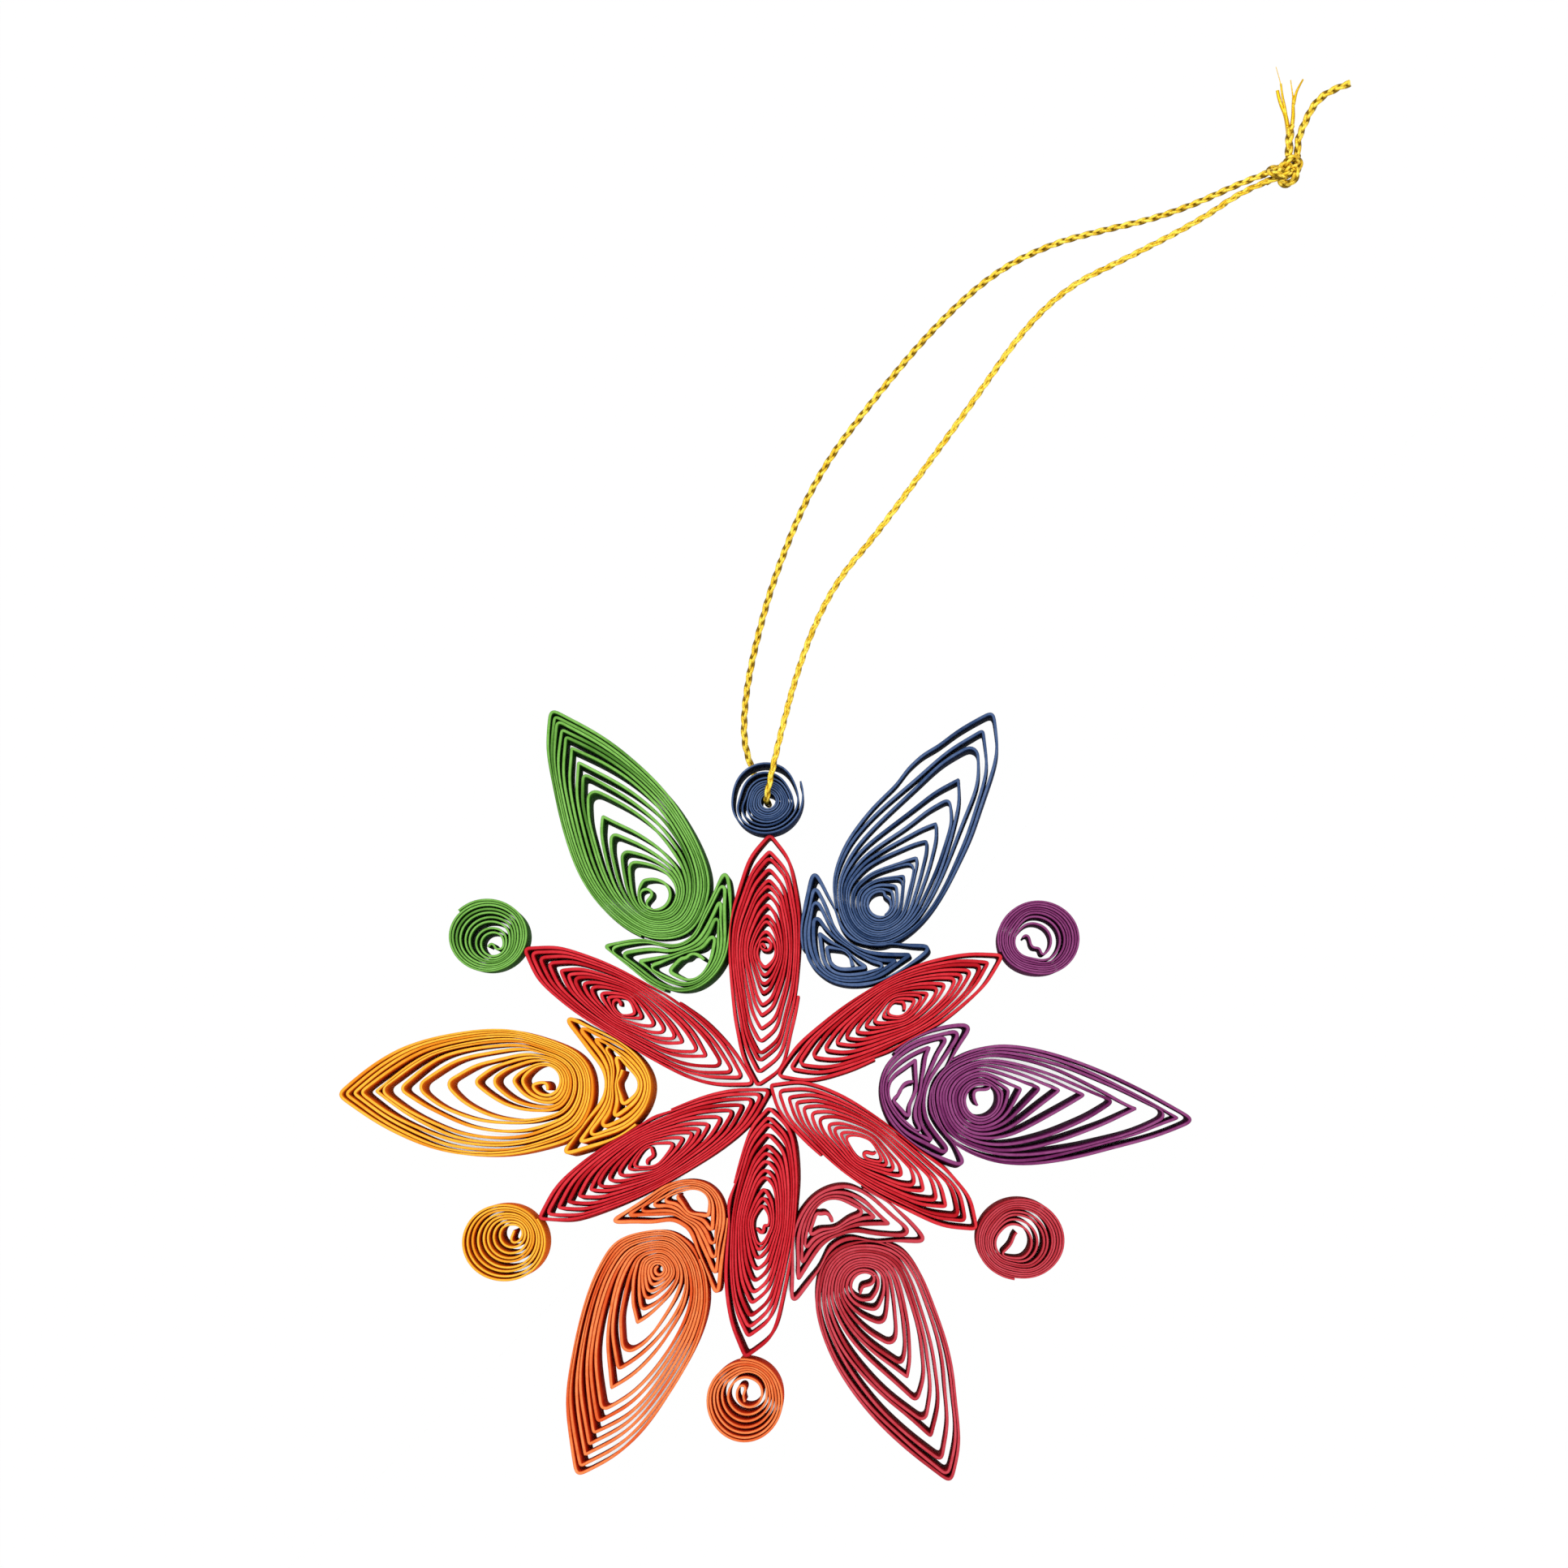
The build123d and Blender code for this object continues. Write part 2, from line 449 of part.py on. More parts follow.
def air(pairs, shift=(0.0, 0.0)):
    """The least air between a coil's rim, shifted, and its neighbours."""
    least = slide_from
    for mine, theirs in pairs:
        apart = np.hypot(mine[:, None, 0] + shift[0] - theirs[None, :, 0],
                         mine[:, None, 1] + shift[1] - theirs[None, :, 1])
        least = min(least, float(apart.min()) - paper)
    return least


def seat(coil, others, way):
    """Slides a coil along a way until the glue film is all that parts it from the others."""
    pairs = close_pairs(coil.rim(), others)
    slide = -slide_from
    while slide < slide_from and air(pairs, (way[0] * slide, way[1] * slide)) > glue_film:
        slide += slide_step
    clear, tight = slide - slide_step, slide
    for _ in range(slide_halvings):
        middle = (clear + tight) / 2
        if air(pairs, (way[0] * middle, way[1] * middle)) > glue_film:
            clear = middle
        else:
            tight = middle
    coil.x += way[0] * clear
    coil.y += way[1] * clear


def settle(coil, first, second, way):
    """Seats a coil in the notch between two others. The first is on the way's left."""
    for _ in range(settle_rounds):
        rim = coil.rim()
        aside = (air(close_pairs(rim, [first])) - air(close_pairs(rim, [second]))) / 2
        coil.x -= way[1] * aside
        coil.y += way[0] * aside
        seat(coil, [first, second], way)


def tube(name, route):
    """A cord along its route: straight runs and arcs as large as the runs allow."""
    points = [Vector(*point) for point in route]
    radii = []
    length = 0.0
    for before, corner, after in zip(points, points[1:], points[2:]):
        half_turn = math.radians((corner - before).get_angle(after - corner)) / 2
        shorter = min((corner - before).length, (after - corner).length)
        radii.append(arc_share * shorter / math.tan(half_turn))
        length -= 2 * arc_share * shorter - 2 * radii[-1] * half_turn
    length += sum((b - a).length for a, b in zip(points, points[1:]))
    path = FilletPolyline(*points, radius=radii)
    section = Plane(origin=points[0], z_dir=points[1] - points[0]) * Circle(cord_diameter / 2)
    cord = sweep(section, path)
    share = cord.volume / (math.pi * cord_diameter**2 / 4 * length)
    print(name, "length", round(length, 1), "volume share", round(share, 4))
    return cord


# The coils, each where the drawing has it
coils = {name: Coil(**data) for group in (petals, ears, teardrops, round_coils) for name, data in group.items()}

# Petals close on the hub one after another
placed = [coils["petal_top"].rim()]
for name in list(petals)[1:]:
    coil = coils[name]
    seat(coil, placed, (-math.cos(coil.turned), -math.sin(coil.turned)))
    placed.append(coil.rim())
rims = {name: coils[name].rim() for name in petals}

# Each crescent sits in the notch between two petals, and its teardrop sits in the crescent
notches = {
    "green": ("petal_top", "petal_upper_left"),
    "blue": ("petal_upper_right", "petal_top"),
    "purple": ("petal_lower_right", "petal_upper_right"),
    "crimson": ("petal_bottom", "petal_lower_right"),
    "orange": ("petal_lower_left", "petal_bottom"),
    "yellow": ("petal_upper_left", "petal_lower_left"),
}
for colour, (first, second) in notches.items():
    ear = coils[f"ear_{colour}"]
    drop = coils[f"teardrop_{colour}"]
    settle(ear, rims[first], rims[second], (math.sin(ear.turned), -math.cos(ear.turned)))
    rims[f"ear_{colour}"] = ear.rim()
    around = [rims[f"ear_{colour}"], rims[first], rims[second]]
    seat(drop, around, (-math.cos(drop.turned), -math.sin(drop.turned)))
    rims[f"teardrop_{colour}"] = drop.rim()

# Each round coil stands at a petal's outer tip
tips = {
    "blue": "petal_top", "purple": "petal_upper_right", "crimson": "petal_lower_right",
    "orange": "petal_bottom", "yellow": "petal_lower_left", "green": "petal_upper_left",
}
for colour, name in tips.items():
    coil = coils[f"round_coil_{colour}"]
    angle = coils[name].turned
    seat(coil, list(rims.values()), (-math.cos(angle), -math.sin(angle)))
    rims[f"round_coil_{colour}"] = coil.rim()

# The ornament's middle becomes the origin
everything = np.vstack(list(rims.values()))
low, high = everything.min(axis=0), everything.max(axis=0)
centre = (low + high) / 2
for coil in coils.values():
    coil.x -= centre[0]
    coil.y -= centre[1]

os.makedirs("parts", exist_ok=True)
for name, coil in coils.items():
    floor = cord_diameter + cord_clearance if name == "round_coil_blue" else 0.0
    export_step(coil.solid(floor), f"parts/{name}.step")

# The cord's strands and tails, and its knot
routes = {
    "cord_front": front_route, "cord_back": back_route, "cord_tail_left": left_tail,
    "cord_tail_right": right_tail,
}
for name, route in routes.items():
    export_step(tube(name, route), f"parts/{name}.step")
knot = extrude(make_face(Polyline(*knot_outline, close=True)), knot_thickness)
knot = fillet(knot.edges(), knot_rounding)
export_step(Pos(*knot_at) * Rot(0, 0, knot_turned) * knot, "parts/cord_knot.step")
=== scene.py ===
import json
import math

import bmesh
import bpy
import numpy as np
from mathutils import Matrix, Vector
from mathutils.kdtree import KDTree


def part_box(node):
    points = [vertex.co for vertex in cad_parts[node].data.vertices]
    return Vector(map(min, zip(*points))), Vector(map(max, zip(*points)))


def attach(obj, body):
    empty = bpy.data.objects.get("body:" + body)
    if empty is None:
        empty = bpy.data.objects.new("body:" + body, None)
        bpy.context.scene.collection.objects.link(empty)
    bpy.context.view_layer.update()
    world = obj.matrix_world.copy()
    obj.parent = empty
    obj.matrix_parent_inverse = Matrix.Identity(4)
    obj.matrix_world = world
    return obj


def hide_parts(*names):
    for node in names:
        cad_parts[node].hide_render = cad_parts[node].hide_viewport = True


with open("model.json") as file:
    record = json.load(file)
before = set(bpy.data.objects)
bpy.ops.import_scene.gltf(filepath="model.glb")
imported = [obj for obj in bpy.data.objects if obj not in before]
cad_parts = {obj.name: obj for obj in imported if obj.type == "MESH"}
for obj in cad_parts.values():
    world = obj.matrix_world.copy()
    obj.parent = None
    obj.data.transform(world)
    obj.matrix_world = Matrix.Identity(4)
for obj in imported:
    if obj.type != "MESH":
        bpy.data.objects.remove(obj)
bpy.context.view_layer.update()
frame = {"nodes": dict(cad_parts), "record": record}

mm = 0.001
perMillimetre, perCentimetre = 1000.0, 100.0
fullTurn = 2 * math.pi


# Node trees

class Link:
    # an output that can be written into sums
    def __init__(self, tree, socket):
        self.tree = tree
        self.socket = socket

    def maths(self, operation, *values):
        return self.tree.add("ShaderNodeMath", {"operation": operation}, *values)[0]

    def __add__(self, other):
        return self.maths("ADD", self, other)

    def __radd__(self, other):
        return self.maths("ADD", other, self)

    def __sub__(self, other):
        return self.maths("SUBTRACT", self, other)

    def __rsub__(self, other):
        return self.maths("SUBTRACT", other, self)

    def __mul__(self, other):
        return self.maths("MULTIPLY", self, other)

    def __rmul__(self, other):
        return self.maths("MULTIPLY", other, self)

    def __truediv__(self, other):
        return self.maths("DIVIDE", self, other)

    def __rtruediv__(self, other):
        return self.maths("DIVIDE", other, self)

    def __abs__(self):
        return self.maths("ABSOLUTE", self)

    def __gt__(self, other):
        return self.maths("GREATER_THAN", self, other)


class Tree:
    def __init__(self, nodeTree):
        self.nodeTree = nodeTree

    # adds any node: its type, its settings, then values or links by place or by socket name
    def add(self, kind, settings=None, *values, **named):
        node = self.nodeTree.nodes.new(kind)
        for key, value in (settings or {}).items():
            setattr(node, key, value)
        sockets = [node.inputs[place] for place in range(len(values))]
        sockets += [next(s for s in node.inputs if s.name == name.replace("_", " ") and s.enabled) for name in named]
        for socket, value in zip(sockets, (*values, *named.values())):
            if isinstance(value, Link):
                self.nodeTree.links.new(value.socket, socket)
            else:
                socket.default_value = value
        return [Link(self, socket) for socket in node.outputs if socket.enabled]

    # a value that runs from one number to another while the given one crosses a span
    def ranged(self, value, span, to=(0.0, 1.0), ease="LINEAR"):
        return self.add("ShaderNodeMapRange", {"interpolation_type": ease}, value, *span, *to)[0]

    def mixed(self, factor, first, second):
        first, second = (colour if isinstance(colour, Link) else (*colour, 1) for colour in (first, second))
        return self.add("ShaderNodeMix", {"data_type": "RGBA"}, Factor=factor, A=first, B=second)[0]

    def noiseAlong(self, place, detail):
        return self.add("ShaderNodeTexNoise", {"noise_dimensions": "1D"}, W=place, Scale=1.0, Detail=detail)[0]

    def vector(self, operation, *values, **named):
        return self.add("ShaderNodeVectorMath", {"operation": operation}, *values, **named)[0]

    def stored(self, geometry, name, value, kind="FLOAT", domain="POINT"):
        return self.add("GeometryNodeStoreNamedAttribute", {"data_type": kind, "domain": domain}, Geometry=geometry,
                        Name=name, Value=value)[0]

    def attribute(self, name, kind="FLOAT"):
        return self.add("GeometryNodeInputNamedAttribute", {"data_type": kind}, name)[0]

    # ends a geometry tree: smooth, real and of one material
    def end(self, geometry, stuff):
        geometry = self.add("GeometryNodeSetShadeSmooth", None, geometry)[0]
        geometry = self.add("GeometryNodeRealizeInstances", None, geometry)[0]
        geometry = self.add("GeometryNodeSetMaterial", None, Geometry=geometry, Material=stuff)[0]
        self.nodeTree.links.new(geometry.socket, self.nodeTree.nodes.new("NodeGroupOutput").inputs[0])
        return self.nodeTree


# An empty geometry tree with a line as its first input. The other inputs come by kind, each kind with its names
def lineTree(name, inputs, output):
    faces = bpy.data.node_groups.new(name, "GeometryNodeTree")
    for kind, *labels in [("Geometry", "Line"), *inputs]:
        for label in labels:
            faces.interface.new_socket(label, in_out="INPUT", socket_type="NodeSocket" + kind)
    faces.interface.new_socket(output, in_out="OUTPUT", socket_type="NodeSocketGeometry")
    return Tree(faces)


def emptyMaterial(name):
    material = bpy.data.materials.new(name)
    material.use_nodes = True
    material.node_tree.nodes.clear()
    return material, Tree(material.node_tree)


def placed(name, data):
    item = bpy.data.objects.new(name, data)
    bpy.context.scene.collection.objects.link(item)
    return item


# The mesh that a curve makes. The curve itself is taken away
def meshFrom(curve):
    bpy.context.view_layer.update()
    mesh = bpy.data.meshes.new_from_object(curve.evaluated_get(bpy.context.evaluated_depsgraph_get()))
    bpy.data.objects.remove(curve)
    return mesh


# Makes a curve into a mesh through a node tree, with the tree's inputs given by name
def grown(name, curve, group, values):
    modifier = curve.modifiers.new(group.name, "NODES")
    modifier.node_group = group
    for item in group.interface.items_tree:
        if item.in_out == "INPUT" and item.name in values:
            modifier[item.identifier] = values[item.name]
    return placed(name, meshFrom(curve))


def addSpline(data, kind, places):
    spline = data.splines.new(kind)
    spline.points.add(len(places) - 1)
    for point, place in zip(spline.points, places):
        point.co = (*place, 1.0)
    return spline


def curveData(name):
    data = bpy.data.curves.new(name, "CURVE")
    data.dimensions = "3D"
    return data


def lineCurve(name, places, cyclic=False, radii=None):
    data = curveData(name)
    spline = addSpline(data, "POLY", places)
    if radii is not None:
        spline.points.foreach_set("radius", radii)
    spline.use_cyclic_u = cyclic
    return placed(name, data)


# Paper, its lengths in millimetres. Own is how far along itself a strip isn't its own neighbour, film the gap left
# between turns, sample the distance at which room is looked for. Least and widest hold the cut edge's width, widest
# by family or coil where there is room. Crowd is the share of the free way that loose turns go to a neighbour
paper = {
    "thickness": 0.16, "least": 0.18, "film": 0.025, "own": 1.2, "rounding": 0.06, "roundingSteps": 2,
    "sample": 0.12,
    "widest": {"petal": 0.36, "ear": 0.4, "teardrop": 0.32, "round": 0.24, "round_coil_blue": 0.2},
    "crowd": {"petal": 0.55, "ear": 0.75, "teardrop": 0.85, "round": 0.5},
    "edgeWave": 0.22, "waveLength": 16.0, "fray": 0.03, "frayLength": 1.3, "sway": 0.22, "swayLength": 7.0,
    "lean": 0.9, "leanLength": 16.0, "upper": 0.4, "edgeSeed": 50.0, "waveSeed": 7.0, "fraySeed": 3.0,
    "lowerShare": 0.5, "coilSeed": 1.7,
}
# The paper's look. Rim and nearRim count up the strip, from 0 in its middle to 0.5 at its cut edges, and aside counts
# across it in the same way. The walls are painted darker away from their edges, the cut edge darker towards its sides,
# and some whole turns lighter or darker: all painted light and shade between the turns. Streaks and turns are how
# often the tone changes in a centimetre
paperLook = {
    "rim": (0.47, 0.488), "nearRim": (0.3, 0.47), "nearRimLightShare": 0.25, "cloudShare": 0.15,
    "cloudScale": 420.0, "cloudDetail": 3.0, "grainScale": 4200.0, "grainDetail": 4.0, "grainRoughness": 0.65,
    "streaks": 9.0, "streakDetail": 2.0, "turns": 0.7, "turnDetail": 1.0,
    "toneShares": (0.35, 0.25, 0.4), "tone": (0.38, 0.72), "sunkShade": (0.5, 0.25), "sunkShadeShare": 0.55,
    "aside": (0.3, 0.5), "asideShadeShare": 0.8, "bump": 0.35, "bumpHeight": 0.04, "roughness": 0.72,
    "grainRoughens": 0.2, "specular": 0.04,
}
# The colours are those of the cut edges at their brightest, of the cut edges, and of the strip's flat. The flat is the
# paper's colour darkened into painted shade, that of the walls deep between the turns
paperColours = {
    "red_paper": ((0.68, 0.045, 0.058), (0.52, 0.014, 0.024), (0.28, 0.002, 0.004)),
    "green_paper": ((0.24, 0.52, 0.12), (0.135, 0.34, 0.052), (0.006, 0.06, 0.003)),
    "blue_paper": ((0.11, 0.16, 0.29), (0.035, 0.072, 0.175), (0.002, 0.008, 0.035)),
    "purple_paper": ((0.29, 0.08, 0.215), (0.19, 0.03, 0.128), (0.07, 0.003, 0.045)),
    "crimson_paper": ((0.57, 0.08, 0.105), (0.45, 0.032, 0.046), (0.2, 0.002, 0.005)),
    "orange_paper": ((0.82, 0.28, 0.10), (0.71, 0.155, 0.036), (0.6, 0.03, 0.004)),
    "yellow_paper": ((0.88, 0.52, 0.065), (0.77, 0.37, 0.022), (0.7, 0.12, 0.003)),
}


def paperMaterial(name, bright, edge, flat):
    look = paperLook
    material, tree = emptyMaterial(name)
    place = tree.add("ShaderNodeTexCoord")[3]
    strip = tree.add("ShaderNodeUVMap", {"uv_map": "strip"})[0]
    along, up, _ = tree.add("ShaderNodeSeparateXYZ", None, strip)
    cloud = tree.add("ShaderNodeTexNoise", None, Vector=place, Scale=look["cloudScale"],
                     Detail=look["cloudDetail"])[0]
    grain = tree.add("ShaderNodeTexNoise", None, Vector=place, Scale=look["grainScale"], Detail=look["grainDetail"],
                     Roughness=look["grainRoughness"])[0]
    streak = tree.noiseAlong(along * look["streaks"], look["streakDetail"])
    turn = tree.noiseAlong(along * look["turns"], look["turnDetail"])
    ofGrain, ofStreak, ofTurn = look["toneShares"]
    # The tone holds the paper's grain and streaks, and per turn painted light that makes some whole turns brighter.
    # Other whole turns are darkened towards the flat as painted shade, as if they sank
    tone = tree.ranged(grain * ofGrain + streak * ofStreak + turn * ofTurn, look["tone"])
    sunkShade = tree.ranged(turn, look["sunkShade"], (0.0, look["sunkShadeShare"]))
    # Painted shade: the cut edge darkens towards its sides, where neighbouring turns meet
    aside = abs(tree.add("ShaderNodeAttribute", {"attribute_name": "across"})[2])
    shade = tree.ranged(aside, look["aside"], (0.0, look["asideShadeShare"]), "SMOOTHSTEP")
    cut = tree.mixed(shade.maths("MAXIMUM", shade, sunkShade), tree.mixed(tone, edge, bright), flat)
    # Painted shade on the walls: darker away from their edges, lighter near the rims. The cloud adds random mottling
    near = tree.ranged(abs(up), look["nearRim"], (0.0, look["nearRimLightShare"]))
    body = tree.mixed(near + cloud * look["cloudShare"], flat, edge)
    colour = tree.mixed(tree.ranged(abs(up), look["rim"], ease="SMOOTHSTEP"), body, cut)
    bump = tree.add("ShaderNodeBump", None, Strength=look["bump"], Distance=look["bumpHeight"] * mm, Height=grain)[0]
    shader = tree.add("ShaderNodeBsdfPrincipled", None, Base_Color=colour, Normal=bump,
                      Roughness=look["roughness"] + look["grainRoughens"] * grain,
                      Specular_IOR_Level=look["specular"])[0]
    tree.add("ShaderNodeOutputMaterial", None, shader)
    return material


def wayAlong(line):
    way = np.gradient(line, axis=0)
    return way / np.linalg.norm(way, axis=1)[:, None]


def leftOf(way):
    return np.stack([-way[:, 1], way[:, 0]], axis=1)


# The direction of each step as an angle that runs on past a full turn
def turningAlong(way):
    return np.unwrap(np.arctan2(way[:, 1], way[:, 0]))


def reachAlong(line):
    return np.concatenate([[0.0], np.cumsum(np.linalg.norm(np.diff(line, axis=0), axis=1))])


# Every coil: the strip's middle line is read from its CAD node and swept anew as a paper strip
reading = {"weld": 1e-7, "level": 1e-6, "steep": 0.5, "corner": 0.5}


# The two long sides of a strip's upper edge, both from the same end, and its lower and upper levels
def stripSides(node):
    mesh = bmesh.new()
    mesh.from_mesh(frame["nodes"][node].data)
    bmesh.ops.remove_doubles(mesh, verts=mesh.verts, dist=reading["weld"])
    heights = [v.co.z for v in mesh.verts]
    low, high = min(heights), max(heights)
    near = {}
    for edge in mesh.edges:
        a, b = edge.verts
        level = min(a.co.z, b.co.z) > high - reading["level"]
        if level and min(abs(f.normal.z) for f in edge.link_faces) < reading["steep"]:
            near.setdefault(a, []).append(b)
            near.setdefault(b, []).append(a)
    start = next(iter(near))
    ring = [start, near[start][0]]
    while True:
        onward = [v for v in near[ring[-1]] if v is not ring[-2]][0]
        if onward is start:
            break
        ring.append(onward)
    points = np.array([v.co.to_2d() for v in ring])
    mesh.free()
    ahead = np.roll(points, -1, axis=0) - points
    ahead /= np.linalg.norm(ahead, axis=1)[:, None]
    corner = (ahead * np.roll(ahead, 1, axis=0)).sum(axis=1) < reading["corner"]
    first, second = [i for i in range(len(points)) if corner[i] and corner[(i + 1) % len(points)]][:2]
    side = points[first + 1:second + 1]
    other = np.vstack([points[second + 1:], points[:first + 1]])[::-1]
    return side, other, low, high


# The middle line from the eye outward: the inner end is the one with the shorter first turn
def middleLine(node):
    side, other, low, high = stripSides(node)
    way = wayAlong(side)
    across = leftOf(way)
    if ((other[0] - side[0]) * across[0]).sum() < 0:
        across = -across
    line = side + across * paper["thickness"] / 2 * mm
    turning = turningAlong(way)
    reach = reachAlong(line)
    firstTurn = reach[np.argmax(np.abs(turning - turning[0]) > fullTurn)]
    lastTurn = reach[-1] - reach[len(reach) - 1 - np.argmax(np.abs(turning[::-1] - turning[-1]) > fullTurn)]
    return line[::-1] if lastTurn < firstTurn else line, low, high


def rolledStrip():
    tree = lineTree("rolledStrip", [
        ("Float", "Thickness", "Width", "Rounding", "Edge Wave", "Wave Length", "Fray", "Fray Length", "Sway",
         "Sway Length", "Lean", "Lean Length", "Seed"),
        ("Vector", "Lean To"), ("Material", "Paper")], "Strip")
    (line, thick, wide, rounding, wave, waveLength, fray, frayLength, sway, swayLength, lean, leanLength, seed, leanTo,
     stuff, _) = tree.add("NodeGroupInput")
    where = tree.add("GeometryNodeInputPosition")[0]

    def drift(length, size):
        place = tree.vector("SCALE", Vector=where, Scale=1.0 / length)
        cloud = tree.add("ShaderNodeTexNoise", {"noise_dimensions": "4D"}, Vector=place, W=seed, Scale=1.0,
                         Detail=0.0)[1]
        cloud = tree.vector("SUBTRACT", cloud, (0.5,) * 3)
        return tree.vector("MULTIPLY", cloud, tree.add("ShaderNodeCombineXYZ", None, size, size, 0.0)[0])

    # the line, with its own length and the room beside it kept for the mesh
    line = tree.add("GeometryNodeSetPosition", None, Geometry=line, Offset=drift(swayLength, sway))[0]
    marked = tree.stored(line, "along", tree.add("GeometryNodeSplineParameter")[1])
    marked = tree.stored(marked, "room", tree.add("GeometryNodeInputRadius")[0])
    marked = tree.add("GeometryNodeSetCurveRadius", None, Curve=marked, Radius=1.0)[0]
    upright = tree.add("GeometryNodeSetCurveNormal", {"mode": "Z_UP"}, Curve=marked)[0]
    upright = tree.stored(upright, "side", tree.add("GeometryNodeInputNormal")[0], "FLOAT_VECTOR")
    section = tree.add("GeometryNodeCurvePrimitiveQuadrilateral", None, thick, wide)[0]
    section = tree.add("GeometryNodeFilletCurve", {"mode": "POLY"}, Curve=section, Count=paper["roundingSteps"],
                       Radius=rounding)[0]
    section = tree.stored(section, "across", tree.add("ShaderNodeSeparateXYZ", None, where)[0] / thick)
    strip = tree.add("GeometryNodeCurveToMesh", None, Curve=upright, Profile_Curve=section, Fill_Caps=True)[0]

    # the mesh: its edges wave and fray, its walls lean, and it grows as wide as the room allows
    there, room, across = (tree.attribute(name) for name in ("along", "room", "across"))
    up = tree.add("ShaderNodeSeparateXYZ", None, where)[2]
    upper = (up / wide) > paper["upper"]
    slow, quick = (tree.noiseAlong(there / length + seed * share + upper * paper["edgeSeed"], 1.0)
                   for length, share in ((waveLength, paper["waveSeed"]), (frayLength, paper["fraySeed"])))
    uneven = slow * wave + quick * fray
    sink = uneven * upper * -1.0 + uneven * (1.0 - upper) * paper["lowerShare"]
    shift = tree.vector("ADD", tree.add("ShaderNodeCombineXYZ", None, 0.0, 0.0, sink)[0],
                        drift(leanLength, lean * (up / wide - 0.5)))
    for way, share in ((tree.attribute("side", "FLOAT_VECTOR"), across * (room - thick)), (leanTo, 0.5 - up / wide)):
        shift = tree.vector("ADD", shift, tree.vector("SCALE", way, Scale=share))
    uv = tree.add("ShaderNodeCombineXYZ", None, there * perCentimetre, up / wide, 0.0)[0]
    strip = tree.stored(strip, "strip", uv, "FLOAT2", "CORNER")
    strip = tree.add("GeometryNodeSetPosition", None, Geometry=strip, Offset=shift)[0]
    return tree.end(strip, stuff)


